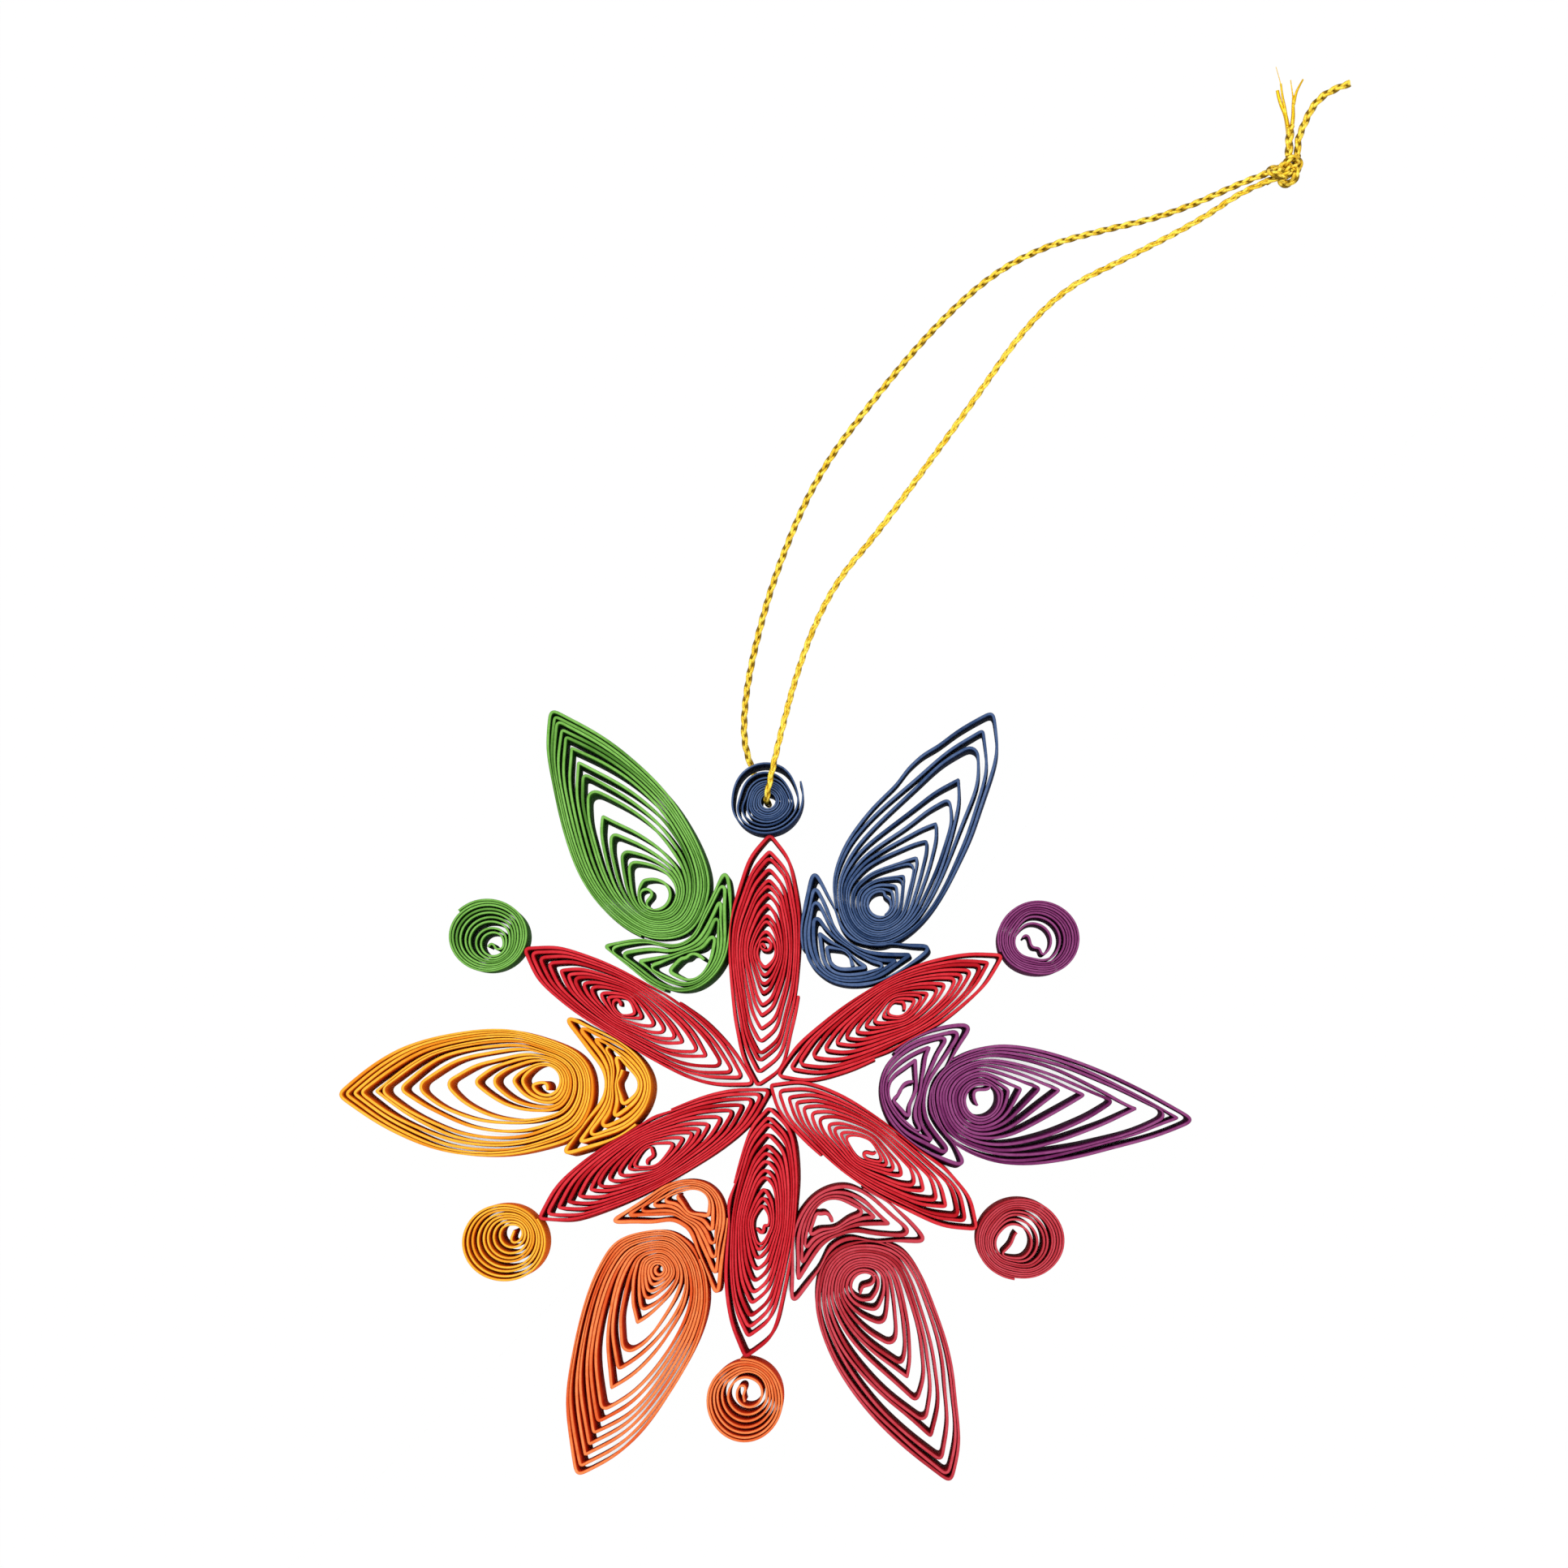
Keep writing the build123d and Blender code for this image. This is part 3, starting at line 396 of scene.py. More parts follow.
# The inner end of each strip, as the photograph shows it in the coil's eye: where the coil points in degrees,
# how far the strip's end lies from the eye's middle, and points in millimetres from that middle, free end first
hooks = {
    "petal_top": (87.5, 0.85, [
        (-0.02, -0.2), (-0.12, 0.2), (-0.36, 0.48), (-0.58, 0.28), (-0.56, -0.08), (-0.25, -0.35), (0.25, -0.4),
        (0.58, -0.05), (0.52, 0.5), (0.2, 0.85), (-0.3, 0.9), (-0.68, 0.6)]),
    "petal_upper_right": (25.9, 0.75, [(-0.02, -0.62), (0.05, -0.25), (0.0, 0.2), (-0.22, 0.45), (-0.5, 0.25)]),
    "petal_lower_right": (-34.0, 0.75, [
        (0.62, 0.25), (0.45, -0.1), (0.05, -0.04), (-0.4, 0.14), (-0.74, 0.08), (-0.8, -0.25)]),
    "petal_bottom": (-95.6, 0.75, [
        (-0.55, 0.28), (-0.3, 0.17), (-0.15, -0.2), (0.05, -0.38), (0.28, -0.25), (0.36, 0.1), (0.36, 0.6)]),
    "petal_lower_left": (-150.9, 0.85, [
        (0.2, -0.68), (0.0, -0.34), (0.1, -0.08), (0.5, 0.14), (0.86, 0.4), (0.66, 0.72)]),
    "petal_upper_left": (150.0, 0.85, [
        (0.17, -0.28), (0.17, 0.2), (-0.05, 0.5), (-0.42, 0.5), (-0.68, 0.25), (-0.66, -0.2)]),
    "ear_green": (24.8, 1.2, [(0.95, -0.2), (0.45, 0.25), (-0.1, 0.5), (-0.7, 0.4), (-1.05, -0.05)]),
    "ear_blue": (-32.7, 1.0, [(0.3, 0.8), (0.1, 0.38), (0.3, -0.2), (0.5, -0.66)]),
    "ear_purple": (-97.5, 1.3, [
        (0.95, 1.0), (0.45, 1.0), (-0.15, 0.75), (-0.45, 0.35), (-0.65, -0.15), (-0.95, -0.6)]),
    "ear_crimson": (-154.1, 1.1, [(0.5, -0.4), (0.42, 0.1), (0.2, 0.45), (-0.25, 0.72), (-0.75, 0.5)]),
    "ear_orange": (148.4, 1.2, [(-0.7, 1.05), (-0.95, 0.75)]),
    "ear_yellow": (90.7, 1.0, [(-0.12, 0.8), (-0.28, 0.25), (-0.45, -0.2), (-0.72, -0.5)]),
    "teardrop_green": (119.8, 1.7, [
        (-0.1, -1.35), (-0.5, -1.2), (-0.8, -0.8), (-0.6, -0.42), (-0.22, -0.08), (-0.1, 0.35), (-0.4, 0.72),
        (-0.95, 0.8), (-1.42, 0.5)]),
    "teardrop_blue": (59.3, 1.4, [(0.2, -1.1), (0.7, -0.65), (0.92, 0.1), (0.7, 0.75), (0.15, 1.02)]),
    "teardrop_purple": (-5.5, 1.6, [
        (-0.2, -1.45), (-0.55, -0.9), (-0.68, -0.2), (-0.6, 0.2), (-0.2, 0.33), (0.5, 0.3), (1.0, 0.4), (1.2, 0.8)]),
    "teardrop_crimson": (-66.1, 1.4, [
        (-0.6, -0.95), (-0.42, -0.5), (-0.4, -0.12), (0.2, 0.02), (0.75, 0.2), (0.98, 0.6)]),
    "teardrop_orange": (-111.6, 0.6, [(0.1, 0.42), (-0.25, 0.3), (-0.4, -0.05), (-0.28, -0.36)]),
    "teardrop_yellow": (-176.3, 1.5, [
        (0.28, -1.3), (0.32, -0.8), (0.18, -0.42), (-0.3, -0.32), (-0.9, -0.42)]),
    "round_coil_green": (126.0, 0.9, [
        (-0.6, -0.3), (-0.4, 0.1), (-0.08, 0.25), (0.15, -0.1), (0.35, -0.5), (0.65, -0.45)]),
    "round_coil_purple": (24.0, 1.3, [
        (-1.0, 0.35), (-0.75, 0.72), (-0.38, 0.7), (-0.18, 0.2), (-0.08, -0.4), (0.3, -0.75), (0.8, -0.65)]),
    "round_coil_crimson": (22.0, 1.35, [(0.55, 1.15), (0.2, 0.75), (-0.02, 0.1), (-0.35, -0.4), (-0.75, -0.75)]),
    "round_coil_orange": (-111.0, 1.4, [
        (-0.3, -1.0), (-0.42, -0.6), (-0.55, -0.2), (-0.3, 0.2), (-0.2, 0.55), (-0.45, 0.9), (-0.9, 0.75),
        (-1.15, 0.2), (-1.1, -0.6), (-0.55, -1.25), (0.3, -1.45), (1.1, -1.05), (1.5, -0.1), (1.25, 0.85),
        (0.5, 1.45), (-0.5, 1.6), (-1.3, 1.2), (-1.8, 0.5), (-2.0, -0.3)]),
    "round_coil_yellow": (-140.0, 0.8, [(0.25, 0.55), (0.1, 0.1), (-0.1, -0.3), (-0.15, -0.5)]),
}
hookJoin = {"gap": 0.4, "steps": 8, "onward": 3}


# The strip's line with its hook in front, run smoothly into the first turn
def hooked(node, line):
    pointed, eye, hook = hooks[node]
    middle = line[0] - eye * mm * np.array([math.cos(math.radians(pointed)), math.sin(math.radians(pointed))])
    path = [middle + mm * np.array(point) for point in hook]
    turning = turningAlong(line - middle)
    first = line[turning - turning[0] < fullTurn]
    far = np.linalg.norm(first - path[-1], axis=1)
    meet = int(np.argmin(far))
    while meet < len(first) - 1 and far[meet] < hookJoin["gap"] * mm:
        meet += 1
    path += [line[meet], line[meet + hookJoin["onward"]]]
    path = [2 * path[0] - path[1]] + path
    joined = []
    for p0, p1, p2, p3 in zip(path, path[1:], path[2:], path[3:]):
        k0, k1, k2 = (math.sqrt(np.linalg.norm(b - a)) for a, b in ((p0, p1), (p1, p2), (p2, p3)))
        leave = ((p1 - p0) / k0 - (p2 - p0) / (k0 + k1) + (p2 - p1) / k1) * k1
        arrive = ((p2 - p1) / k1 - (p3 - p1) / (k1 + k2) + (p3 - p2) / k2) * k1
        for step in range(hookJoin["steps"]):
            t = step / hookJoin["steps"]
            joined.append((2 * t**3 - 3 * t**2 + 1) * p1 + (3 * t**2 - 2 * t**3) * p2
                          + (t**3 - 2 * t**2 + t) * leave + (t**3 - t**2) * arrive)
    return np.vstack([joined, line[meet:]])


# Paper's own way of lying, in millimetres: folds are rounded, and loose turns crowd together in places. The last
# turns' folds are rounder, more and more from lastFrom before the end and over the length lastOver. Contrast above 1
# lets turns lie right against each other, and the first turns lie still
loose = {
    "step": 0.08, "fold": 0.26, "lastFold": 0.5, "lastFrom": 63.0, "lastOver": 18.0, "crowdLength": 11.0,
    "contrast": 1.6, "calm": 1.0, "still": 7.0, "stillFrom": 0.5, "reach": 3.0, "coarse": 3,
    "tolerance": 0.004, "farthest": 0.9, "evening": 4.0,
}


# A running mean with bell-shaped weights, the ends held
def blurred(values, spread):
    count = int(3 * spread) + 1
    weights = np.exp(-0.5 * (np.arange(-count, count + 1) / spread) ** 2)
    weights /= weights.sum()
    held = np.concatenate([np.repeat(values[:1], count, axis=0), values, np.repeat(values[-1:], count, axis=0)])
    columns = held.reshape(len(held), -1).T
    return np.stack([np.convolve(column, weights, "valid") for column in columns], axis=1).reshape(values.shape)


# The line's points at the given places, counted as the second argument counts them
def taken(places, counts, line):
    return np.stack([np.interp(places, counts, line[:, k]) for k in (0, 1)], axis=1)


# How far each point of a line may go before it meets its own other turns, to its left and to its right
def freeBeside(line, step):
    way = wayAlong(line)
    dx = (line[None, :, 0] - line[:, None, 0]).astype(np.float32)
    dy = (line[None, :, 1] - line[:, None, 1]).astype(np.float32)
    left = dy * way[:, 0, None] - dx * way[:, 1, None] > 0
    far = np.hypot(dx, dy)
    places = np.arange(len(line)) * step
    nothingNear = 1.0
    far[np.abs(places[None, :] - places[:, None]) < paper["own"] * mm] = nothingNear
    free = [np.where(side, far, nothingNear).min(axis=1) for side in (left, ~left)]
    return [np.where(f > loose["reach"] * mm, 0.0, np.maximum(f - (paper["thickness"] + paper["film"]) * mm, 0.0))
            for f in free]


def lain(line, seed, rounder, crowd):
    step = loose["step"] * mm
    reach = reachAlong(line)
    places = np.arange(0.0, reach[-1], step)
    line = taken(places, reach, line)
    last = np.clip((places - places[-1] + loose["lastFrom"] * mm) / (loose["lastOver"] * mm), 0.0, 1.0)
    share = (last * rounder)[:, None]
    line = blurred(line, loose["fold"] / loose["step"]) * (1 - share) + blurred(
        line, loose["lastFold"] / loose["step"]) * share

    # turns move toward a neighbour, to the left where push is positive
    coarse = loose["coarse"]
    free = [np.interp(places, places[::coarse], f) for f in freeBeside(line[::coarse], coarse * step)]
    knots = np.random.default_rng(seed).uniform(
        -loose["contrast"], loose["contrast"], int(places[-1] / mm / loose["crowdLength"]) + 3)
    push = np.clip(np.interp(places / mm / loose["crowdLength"], np.arange(len(knots)), knots), -1.0, 1.0)
    push = push * 0.5 * crowd * np.where(push > 0, free[0], free[1])
    moving = np.clip(places / mm / loose["still"] - loose["stillFrom"], 0.0, 1.0)
    push = blurred(push * moving, loose["calm"] / loose["step"])
    line = line + leftOf(wayAlong(line)) * push[:, None]

    # as many points as the bends ask for: on an arc, a chord strays from it by the tolerance
    bend = np.abs(np.gradient(turningAlong(wayAlong(line)))) / step
    often = np.maximum(1 / (loose["farthest"] * mm), np.sqrt(bend / (8 * loose["tolerance"] * mm)))
    often = np.concatenate([[0.0], np.cumsum(blurred(often, loose["evening"])[1:] * step)])
    order = np.arange(len(line))
    return taken(np.interp(np.linspace(0.0, often[-1], int(often[-1]) + 2), often, order), order, line)


# Room for the paper beside each point of the lines: as wide as the next turn or coil allows
def roomBeside(lines):
    dense = {}
    for node, line in lines.items():
        reach = reachAlong(line)
        places = np.arange(0.0, reach[-1], paper["sample"] * mm)
        dense[node] = reach, places, taken(places, reach, line)
    search = KDTree(sum(len(places) for _, places, _ in dense.values()))
    owners = []
    for node, (_, places, points) in dense.items():
        for place, (x, y) in zip(places, points):
            search.insert((x, y, 0.0), len(owners))
            owners.append((node, place))
    search.balance()
    rooms = {}
    for node, line in lines.items():
        widest = paper["widest"].get(node, paper["widest"][node.split("_")[0]])
        room = []
        for (x, y), here in zip(line, dense[node][0]):
            least = (widest + paper["film"]) * mm
            for _, index, far in search.find_range((x, y, 0.0), least):
                owner, place = owners[index]
                if far < least and (owner != node or abs(place - here) > paper["own"] * mm):
                    least = far
            room.append(max(least - paper["film"] * mm, paper["least"] * mm))
        room = np.array(room)
        held = np.minimum(room, np.minimum(np.roll(room, 1), np.roll(room, -1)))
        rooms[node] = (held + np.roll(held, 1) + np.roll(held, -1)) / 3
    return rooms


# How far the foot of a coil lies aside from its top, in millimetres
leans = {
    "teardrop_purple": (-0.2, 0.24), "ear_purple": (-0.35, -0.15), "round_coil_purple": (-0.2, 0.0),
    "round_coil_crimson": (-0.2, 0.15), "petal_lower_right": (-0.12, 0.15), "petal_upper_right": (-0.1, 0.0),
    "teardrop_crimson": (-0.1, 0.2), "ear_crimson": (-0.3, 0.22), "ear_green": (0.24, -0.14),
    "ear_blue": (0.22, -0.16), "ear_yellow": (0.25, -0.05), "ear_orange": (0.22, 0.08),
}
# The blue round coil's outer turns hang loose of the inner ones, which are drawn tight by scale and moved by shift.
# Band is where the two part, counted from the middle outward
hanging = {"round_coil_blue": {"scale": 0.82, "band": (0.74, 0.92), "shift": (0.1, -0.14)}}


def hung(line, scale, band, shift):
    middle = (line.min(axis=0) + line.max(axis=0)) / 2
    arms = line - middle
    far = np.linalg.norm(arms, axis=1)
    inner, outer = band
    tight = 1 - np.clip((far / far.max() - inner) / (outer - inner), 0.0, 1.0)[:, None]
    return middle + arms * (1 - (1 - scale) * tight) + mm * np.array(shift) * tight


slots = {part["node"]: part["material_slot"] for part in frame["record"]["subparts"]}
papers = {slot: paperMaterial(slot, *colours) for slot, colours in paperColours.items()}
stripTree = rolledStrip()
lines, levels = {}, {}
for node, slot in slots.items():
    if slot in papers:
        line, *levels[node] = middleLine(node)
        family = node.split("_")[0]
        line = hooked(node, line) if node in hooks else line
        line = lain(line, len(lines), family != "petal", paper["crowd"][family])
        lines[node] = hung(line, **hanging[node]) if node in hanging else line
print("lines", sum(len(line) for line in lines.values()), "points")
rooms = roomBeside(lines)
narrowest, broadest = (pick(pick(room) for room in rooms.values()) for pick in (min, max))
print("rooms", round(narrowest / mm, 3), round(broadest / mm, 3))
paperLengths = {
    "Thickness": "thickness", "Rounding": "rounding", "Edge Wave": "edgeWave", "Wave Length": "waveLength",
    "Fray": "fray", "Fray Length": "frayLength", "Sway": "sway", "Sway Length": "swayLength", "Lean": "lean",
    "Lean Length": "leanLength",
}
for seed, (node, line) in enumerate(lines.items()):
    slot = slots[node]
    low, high = levels[node]
    curve = lineCurve(node + "_line", [(x, y, 0.0) for x, y in line], radii=rooms[node])
    piece = grown(node + "_strip", curve, stripTree, {
        **{label: paper[key] * mm for label, key in paperLengths.items()}, "Width": high - low,
        "Seed": seed * paper["coilSeed"], "Lean To": [a * mm for a in leans.get(node, (0.0, 0.0))] + [0.0],
        "Paper": papers[slot],
    })
    piece.data.transform(Matrix.Translation((0, 0, (low + high) / 2)))
    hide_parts(node)
    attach(piece, "root")
    print("coil", node, len(line), "points", len(piece.data.polygons), "faces")

# Cord, in millimetres, but for the lengths in metres. Shares say how thick each strand is drawn
cord = {
    "diameter": 0.83, "plyRadius": 0.18, "plyAside": 0.2, "plyUp": 0.14, "pitch": 4.8, "step": 0.12, "sides": 10,
    "routeSteps": 24, "tailPoints": 3, "lengths": {"cord_front": 0.1019, "cord_back": 0.0996},
    "shares": {"cord_front": 0.95, "cord_back": 1.0, "cord_tail_left": 1.3, "cord_tail_right": 1.12},
}
# Glint is the colour of painted highlights on the thread's windings and flakes, shade the colour of painted shade
# where a ply dives
goldLook = {
    "glint": (1.0, 0.80, 0.12), "gold": (0.66, 0.39, 0.01), "shade": (0.2, 0.11, 0.003), "windings": 5.0,
    "windingBends": 1.2, "windingDetail": 1.0, "flakeScale": 2600.0, "toneShares": (0.45, 0.55),
    "tone": (0.35, 0.75), "ragged": 0.3, "bump": 0.5, "bumpHeight": 0.05, "bumpShares": (0.7, 0.3),
    "metallic": 0.9, "roughness": 0.3, "glintRoughens": 0.2,
}
# The strands' routes as in the CAD: they meet beneath the blue round coil
routes = {
    "cord_front": [
        (-0.4, 32.9, 0.43), (0.6, 30.9, 0.43), (0.45, 31.0, 3.4), (0.5, 30.95, 6.75), (1.2, 34.3, 6.75),
        (2.1, 38.3, 6.4), (3.6, 44.6, 4.7), (5.6, 50.8, 2.8), (8.3, 56.3, 1.3), (12.2, 61.0, 0.6),
        (17.6, 68.4, 0.5), (23.3, 76.3, 0.5), (29.1, 84.7, 0.5), (34.3, 89.5, 0.5), (40.0, 92.2, 0.5),
        (48.7, 96.6, 0.6), (53.6, 99.864, 1.2), (56.42, 100.89, 1.2)],
    "cord_back": [
        (-0.4, 32.9, 0.43), (-2.1, 36.3, 0.43), (-2.4, 41.2, 0.5), (-1.3, 48.1, 0.5), (1.3, 57.5, 0.5),
        (5.8, 68.1, 0.5), (12.1, 76.6, 0.5), (18.9, 84.8, 0.5), (25.6, 91.0, 0.5), (32.0, 94.2, 0.5),
        (37.8, 95.7, 0.5), (43.4, 96.9, 0.5), (48.6, 98.7, 0.6), (53.291, 100.709, 1.2), (56.11, 101.735, 1.2)],
    "cord_tail_left": [
        (58.767, 103.652, 1.2), (58.71, 105.25, 1.2), (59.1, 107.4, 0.6), (59.1, 109.2, 0.5), (59.0, 110.6, 0.5)],
    "cord_tail_right": [
        (59.716, 103.687, 1.2), (59.66, 105.28, 1.2), (60.5, 107.5, 0.6), (61.8, 110.1, 0.5),
        (63.7, 111.6, 0.5), (65.8, 112.3, 0.5)],
}


# Gold thread with painted shade where a ply dives: below the first height it is all painted shade, above the second
# all gold
def goldMaterial(name, dives, rises):
    look = goldLook
    material, tree = emptyMaterial(name)
    place = tree.add("ShaderNodeTexCoord")[3]
    wound = tree.add("ShaderNodeUVMap", {"uv_map": "strip"})[0]
    winding = tree.add("ShaderNodeTexWave", {"wave_type": "BANDS", "bands_direction": "DIAGONAL"}, Vector=wound,
                       Scale=look["windings"], Distortion=look["windingBends"], Detail=look["windingDetail"])[1]
    flake = tree.add("ShaderNodeTexVoronoi", {"feature": "F1"}, Vector=place, Scale=look["flakeScale"])
    glint = tree.add("ShaderNodeSeparateColor", None, flake[1])[0]
    lift = tree.add("ShaderNodeAttribute", {"attribute_name": "lift"})[2]
    tone, height = (winding * look[key][0] + glint * look[key][1] for key in ("toneShares", "bumpShares"))
    # Painted highlight: the windings and flakes turn from gold towards the glint colour
    colour = tree.mixed(tree.ranged(tone, look["tone"]), look["gold"], look["glint"])
    high = lift + glint * look["ragged"] - look["ragged"] / 2
    # Painted shade: the low parts of a ply, where it dives under the others, turn to the shade colour
    colour = tree.mixed(tree.ranged(high, (dives, rises), ease="SMOOTHSTEP"), look["shade"], colour)
    bump = tree.add("ShaderNodeBump", None, Strength=look["bump"], Distance=look["bumpHeight"] * mm, Height=height)[0]
    shader = tree.add("ShaderNodeBsdfPrincipled", None, Base_Color=colour, Metallic=look["metallic"], Normal=bump,
                      Roughness=look["roughness"] + look["glintRoughens"] * glint)[0]
    tree.add("ShaderNodeOutputMaterial", None, shader)
    return material


# A flat plait: three plies cross from side to side, each a third of the pitch behind the last
def plaitedCord():
    tree = lineTree("plaitedCord", [("Float", "Ply Radius", "Ply Aside", "Ply Up", "Pitch", "Step"), ("Int", "Sides"),
                                    ("Material", "Gold")], "Cord")
    line, radius, aside, above, pitch, step, sides, stuff, _ = tree.add("NodeGroupInput")
    even = tree.add("GeometryNodeResampleCurve", {"mode": "LENGTH"}, Curve=line, Length=step)[0]
    around, along, _ = tree.add("GeometryNodeSplineParameter")
    even = tree.add("GeometryNodeSetCurveNormal", {"mode": "Z_UP"}, Curve=even)[0]
    even = tree.stored(even, "along", along)
    normal = tree.add("GeometryNodeInputNormal")[0]
    upward = tree.vector("CROSS_PRODUCT", normal, tree.add("GeometryNodeInputTangent")[0])
    ring = tree.add("GeometryNodeCurvePrimitiveCircle", {"mode": "RADIUS"}, Resolution=sides, Radius=radius)[0]
    ring = tree.stored(ring, "around", around)
    plies = tree.nodeTree.nodes.new("GeometryNodeJoinGeometry")
    for third in range(3):
        turn = along / pitch * fullTurn + third * fullTurn / 3
        lift = turn.maths("SINE", turn * 2.0)
        shift = tree.vector("ADD", *(tree.vector("SCALE", way, Scale=size * wave) for way, size, wave in (
            (normal, aside, turn.maths("SINE", turn)), (upward, above, lift))))
        ply = tree.stored(even, "lift", lift)
        ply = tree.add("GeometryNodeSetPosition", None, Geometry=ply, Offset=shift)[0]
        ply = tree.add("GeometryNodeCurveToMesh", None, Curve=ply, Profile_Curve=ring, Fill_Caps=True)[0]
        tree.nodeTree.links.new(ply.socket, plies.inputs[0])
    uv = tree.add("ShaderNodeCombineXYZ", None, tree.attribute("along") * perMillimetre, tree.attribute("around"),
                  0.0)[0]
    return tree.end(tree.stored(Link(tree, plies.outputs[0]), "strip", uv, "FLOAT2", "CORNER"), stuff)


# The points of a smooth line with the route's points, in millimetres, as its control points
def smoothRoute(name, route):
    data = curveData(name)
    data.resolution_u = cord["routeSteps"]
    spline = addSpline(data, "NURBS", [mm * Vector(place) for place in route])
    spline.order_u = 3
    spline.use_endpoint_u = True
    mesh = meshFrom(placed(name, data))
    points = [tuple(v.co) for v in mesh.vertices]
    bpy.data.meshes.remove(mesh)
    return points


# Both golds are painted darker where a ply dives, the smooth one less deeply than the other
smooth = goldMaterial("gold_smooth", -1.1, -0.3)
shadedGold = goldMaterial("gold_beaded", -0.3, 0.6)
cordTree = plaitedCord()


def plaited(name, points, gold, share, cyclic=False):
    return grown(name, lineCurve(name + "_line", points, cyclic), cordTree, {
        "Ply Radius": cord["plyRadius"] * share * mm, "Ply Aside": cord["plyAside"] * share * mm,
        "Ply Up": cord["plyUp"] * share * mm, "Pitch": cord["pitch"] * mm, "Step": cord["step"] * mm,
        "Sides": cord["sides"], "Gold": gold,
    })


# Each strand's piece and its path. The left tail's plait ends where its filaments begin
strands = {}
for name, route in routes.items():
    points = smoothRoute(name + "_route", route[:cord["tailPoints"]] if name == "cord_tail_left" else route)
    gold = smooth if name == "cord_front" else shadedGold
    strands[name] = (plaited(name + "_plait", points, gold, cord["shares"][name]), points)
    print("cord", name, round(sum(math.dist(a, b) for a, b in zip(points, points[1:])), 4))

# The knot: the cord's loops drawn tight on the CAD knot's place, and the strands that pass through it. Each loop has
# its share of the width, its share of the height and its hand
knot = {
    "half": (1.7, 1.2, 0.62), "turned": 20.0, "steps": 120, "widest": 2.6, "loopShare": 1.15, "throughShare": 1.1,
    "loops": ((1.0, 1.2, 1), (0.55, 0.8, -1)), "enter": (-0.3, 1.2), "leave": (0.0, -0.6, 0.0),
    "between": ((0.4, -0.5, 0.9), (0.4, -0.5, -0.5)),
}
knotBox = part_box("cord_knot")
knotMiddle = (knotBox[0] + knotBox[1]) / 2
knotTurn = Matrix.Rotation(math.radians(knot["turned"]), 3, "Z")


# The points of a trefoil
def knotLoop(wide, high, hand):
    places = []
    for step in range(knot["steps"]):
        a = fullTurn * step / knot["steps"]
        x = (math.sin(a) + 2 * math.sin(2 * a)) / knot["widest"] * knot["half"][0] * wide
        y = (math.cos(a) - 2 * math.cos(2 * a)) / knot["widest"] * knot["half"][1] * wide * hand
        z = -math.sin(3 * a) * knot["half"][2] * high
        places.append(knotMiddle + knotTurn @ Vector((x, y, z)) * mm)
    return places


# A strand's last stretch into the knot and on to its tail
def knotRoute(enter, leave, between):
    a, b = Vector(routes[enter][-1]), Vector(routes[leave][0])
    way = (a - Vector(routes[enter][-2])).normalized()
    return [*(a + way * far for far in knot["enter"]), (a + b) / 2 + Vector(between), b + Vector(knot["leave"]), b]


knotPieces = [plaited("knot_loop_%d" % k, knotLoop(*loop), shadedGold, knot["loopShare"], cyclic=True)
              for k, loop in enumerate(knot["loops"])]
passing = (("cord_front", "cord_tail_right"), ("cord_back", "cord_tail_left"))
for k, (ends, between) in enumerate(zip(passing, knot["between"])):
    points = smoothRoute("knot_through", knotRoute(*ends, between))
    knotPieces.append(plaited("knot_through_%d" % k, points, shadedGold, knot["throughShare"]))

# The left tail frays into two thick ends and four thin filaments, in millimetres: four points each, then the radius
# at root and at tip
frays = [
    [(58.8, 106.4, 0.7), (58.7, 108.4, 0.6), (57.9, 110.2, 0.6), (57.7, 111.6, 0.5), 0.28, 0.2],
    [(58.7, 107.4, 0.9), (58.5, 109.4, 0.8), (58.2, 111.0, 0.6), (58.1, 112.4, 0.5), 0.17, 0.12],
    [(58.2, 111.2, 0.6), (58.1, 112.2, 0.5), (57.9, 113.2, 0.5), (57.6, 114.4, 0.4), 0.06, 0.04],
    [(59.0, 106.4, 0.7), (59.4, 108.2, 0.6), (59.4, 109.8, 0.5), (59.5, 111.0, 0.4), 0.26, 0.16],
    [(59.4, 110.0, 0.7), (59.4, 111.0, 0.6), (59.3, 111.8, 0.5), (59.2, 112.8, 0.5), 0.1, 0.06],
    [(59.5, 110.0, 0.5), (59.7, 111.2, 0.5), (60.2, 112.2, 0.5), (60.6, 112.9, 0.4), 0.18, 0.1],
]


def frayed():
    data = curveData("frayed_end")
    data.bevel_depth = 1.0
    data.bevel_resolution = 2
    data.use_fill_caps = True
    for *route, thick, thin in frays:
        points = smoothRoute("filament", route)
        radii = [(thick + (thin - thick) * k / (len(points) - 1)) * mm for k in range(len(points))]
        addSpline(data, "POLY", points).points.foreach_set("radius", radii)
    mesh = meshFrom(placed("frayed_end_curve", data))
    mesh.shade_smooth()
    mesh.materials.append(smooth)
    return placed("frayed_end", mesh)


frayPiece = frayed()
for name, piece in [(name, strand[0]) for name, strand in strands.items()] + [("cord_knot", knotPieces[0])]:
    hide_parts(name)
for piece in [strand[0] for strand in strands.values()] + knotPieces + [frayPiece]:
    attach(piece, "root")
knotPieces + [strands["cord_tail_left"][0], frayPiece]
print("cord, knot and tails done")

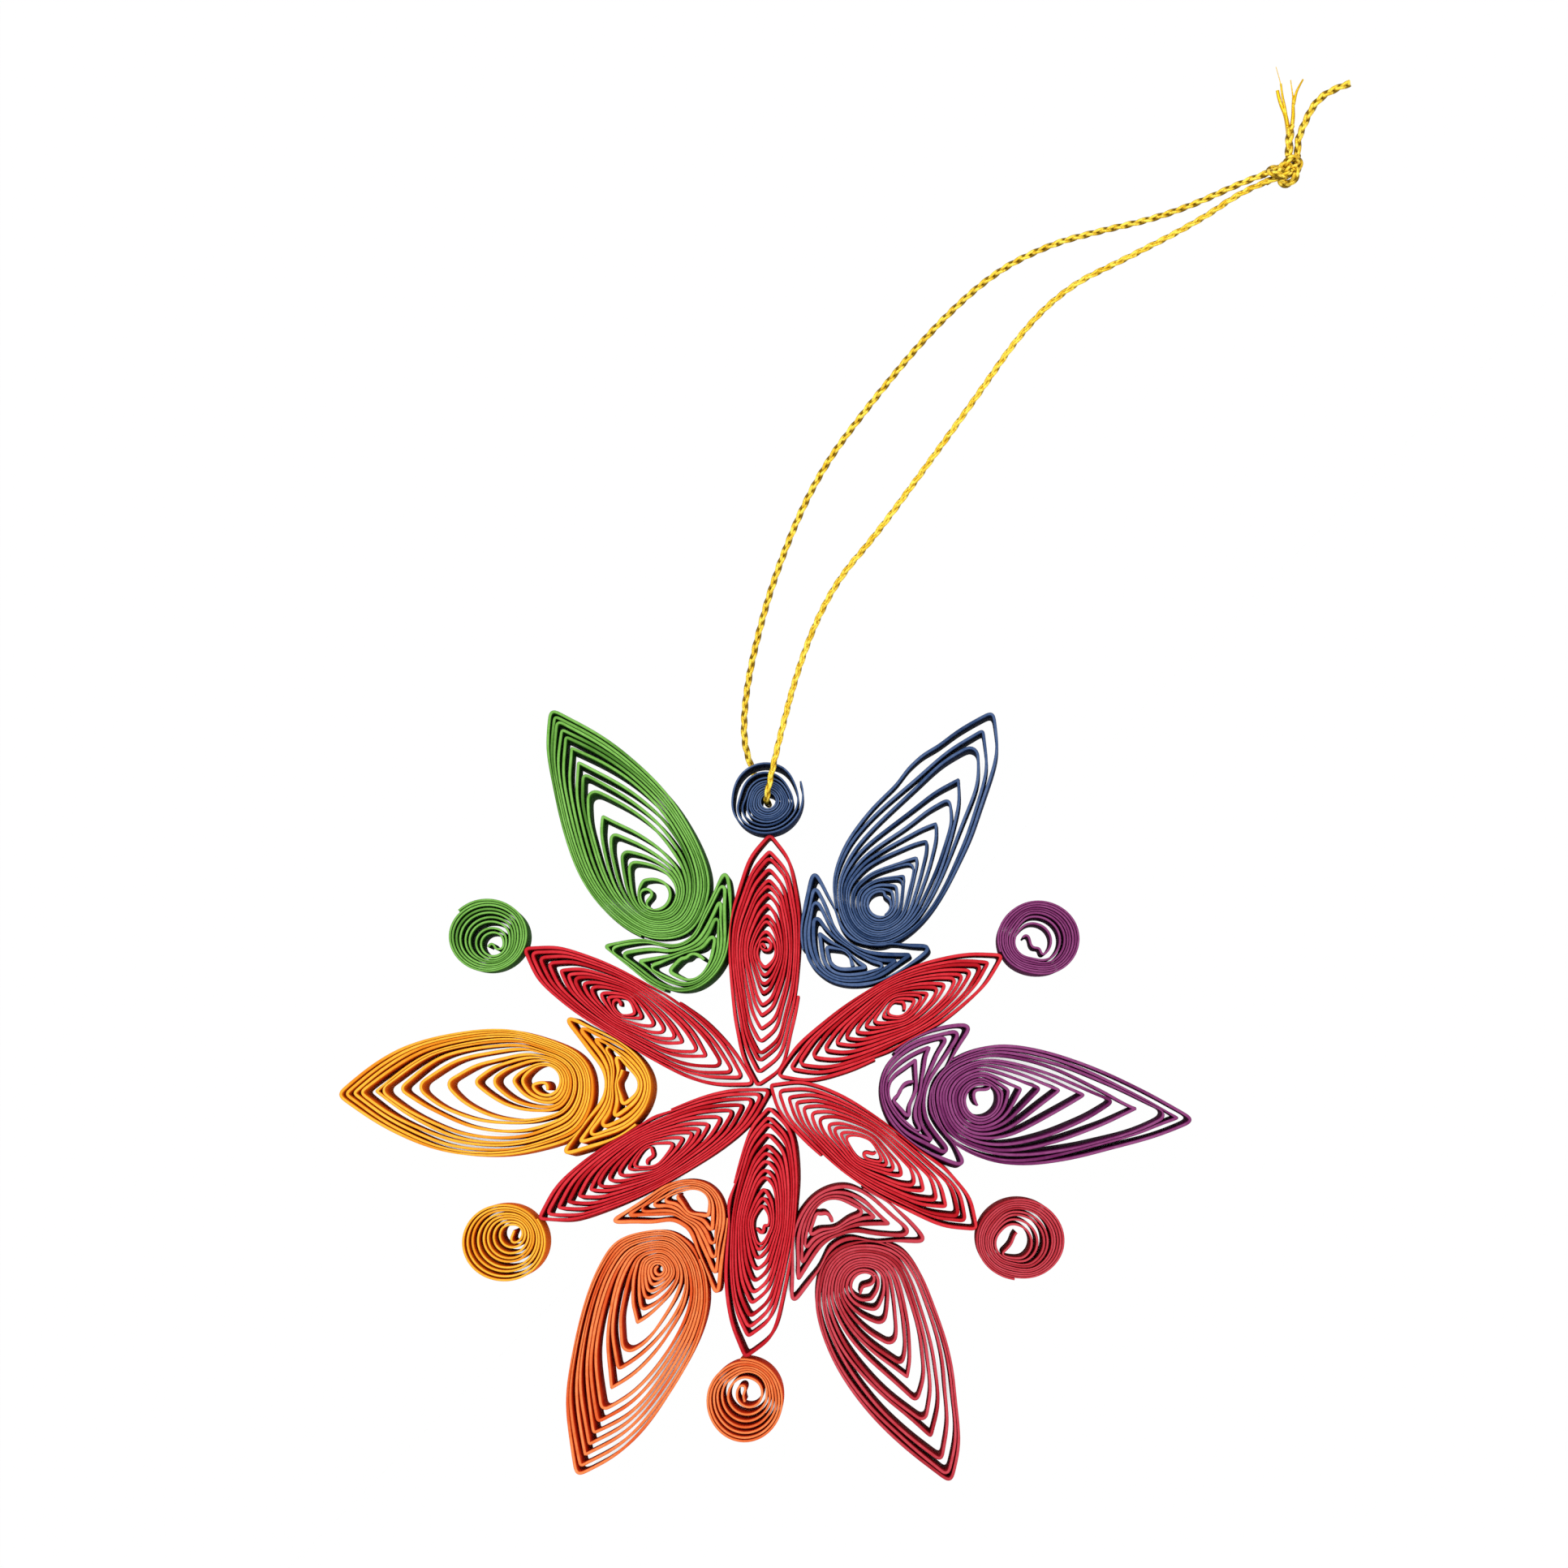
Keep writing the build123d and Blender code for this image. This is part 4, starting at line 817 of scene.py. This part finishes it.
# Camera, at the photograph's place above the ornament. Nadir is the picture's point straight below the camera
camera = {
    "focal": 3602.265, "image": 1932, "sensor": 36.0, "nadir": (1150.0, 1400.0), "at": (18.339, -5.137, 320.0),
    "nearest": 0.01,
}
nadirX, nadirY = ((place - camera["image"] / 2) / camera["focal"] for place in camera["nadir"])
zWay = -Vector((nadirX, -nadirY, -1)).normalized()
yWay = Vector((0, -zWay.z, zWay.y)).normalized()
yWay = -yWay if yWay.y < 0 else yWay
xWay = yWay.cross(zWay)
lens = bpy.data.cameras.new("camera")
lens.sensor_width = camera["sensor"]
lens.lens = camera["sensor"] * camera["focal"] / camera["image"]
lens.clip_start = camera["nearest"]
view = placed("camera", lens)
view.matrix_world = Matrix.Translation(Vector(camera["at"]) * mm) @ Matrix((xWay, yWay, zWay)).to_4x4()
bpy.context.scene.camera = view
print("camera", tuple(round(a, 4) for a in view.location))

# Floor, world and lamps. Rays that the camera or a glossy face sends out see white, but for narrow gaps, where the
# camera sees the floor in painted shade over its real shadow
stage = {
    "halfFloor": 2.4, "beneath": 0.02, "white": (0.9,) * 3, "shaded": (0.3,) * 3, "world": 0.85, "lamp": 4.6,
    "gapDepth": 0.8, "gaps": (0.06, 0.2), "gapSamples": 8, "glow": 0.98, "glowStrength": 1.015,
    "lamps": (("key", (-0.25, 0.35, 0.7), 0.5, 0.7), ("fill", (0.5, -0.2, 0.6), 0.6, 0.3)),
}


# 1 for a ray that the camera or a glossy or clear face sends out, then 1 for one of the camera's alone
def seenRays(tree):
    byCamera, _, _, byGloss, _, _, throughClear, *_ = tree.add("ShaderNodeLightPath")
    return byCamera + byGloss + throughClear, byCamera


floorMesh = bpy.data.meshes.new("floor")
half = stage["halfFloor"]
floorMesh.from_pydata([(-half, -half, 0), (half, -half, 0), (half, half, 0), (-half, half, 0)], [], [(0, 1, 2, 3)])
floor = placed("floor", floorMesh)
floor.location.z = -stage["beneath"] * mm
floorMaterial, floorTree = emptyMaterial("floor")
seen, byCamera = seenRays(floorTree)
air = floorTree.add("ShaderNodeAmbientOcclusion", {"samples": stage["gapSamples"]},
                    Distance=stage["gapDepth"] * mm)[1]
clear = floorTree.ranged(air, stage["gaps"], ease="SMOOTHSTEP")
# Painted shade: in narrow gaps the camera sees the floor as the shaded grey instead of white, on top of its real
# shadow
diffuse = floorTree.add("ShaderNodeBsdfDiffuse", None, floorTree.mixed(byCamera, stage["white"], stage["shaded"]))[0]
glow = floorTree.add("ShaderNodeEmission", None, (1, 1, 1, 1), stage["glowStrength"])[0]
whole = floorTree.add("ShaderNodeMixShader", None, seen * clear * stage["glow"], diffuse, glow)[0]
floorTree.add("ShaderNodeOutputMaterial", None, whole)
floorMesh.materials.append(floorMaterial)

world = bpy.data.worlds.new("world")
world.use_nodes = True
world.node_tree.nodes.clear()
worldTree = Tree(world.node_tree)
strength = stage["world"] + seenRays(worldTree)[0] * (1 - stage["world"])
worldTree.add("ShaderNodeOutputWorld", None, worldTree.add("ShaderNodeBackground", None, (1, 1, 1, 1), strength)[0])
bpy.context.scene.world = world

for name, place, size, share in stage["lamps"]:
    light = bpy.data.lights.new(name, "AREA")
    light.shape = "SQUARE"
    light.size = size
    light.energy = stage["lamp"] * share
    lamp = placed(name, light)
    lamp.location = place
    lamp.rotation_euler = (-Vector(place)).to_track_quat("-Z", "Y").to_euler()

bpy.context.scene.view_settings.view_transform = "Standard"
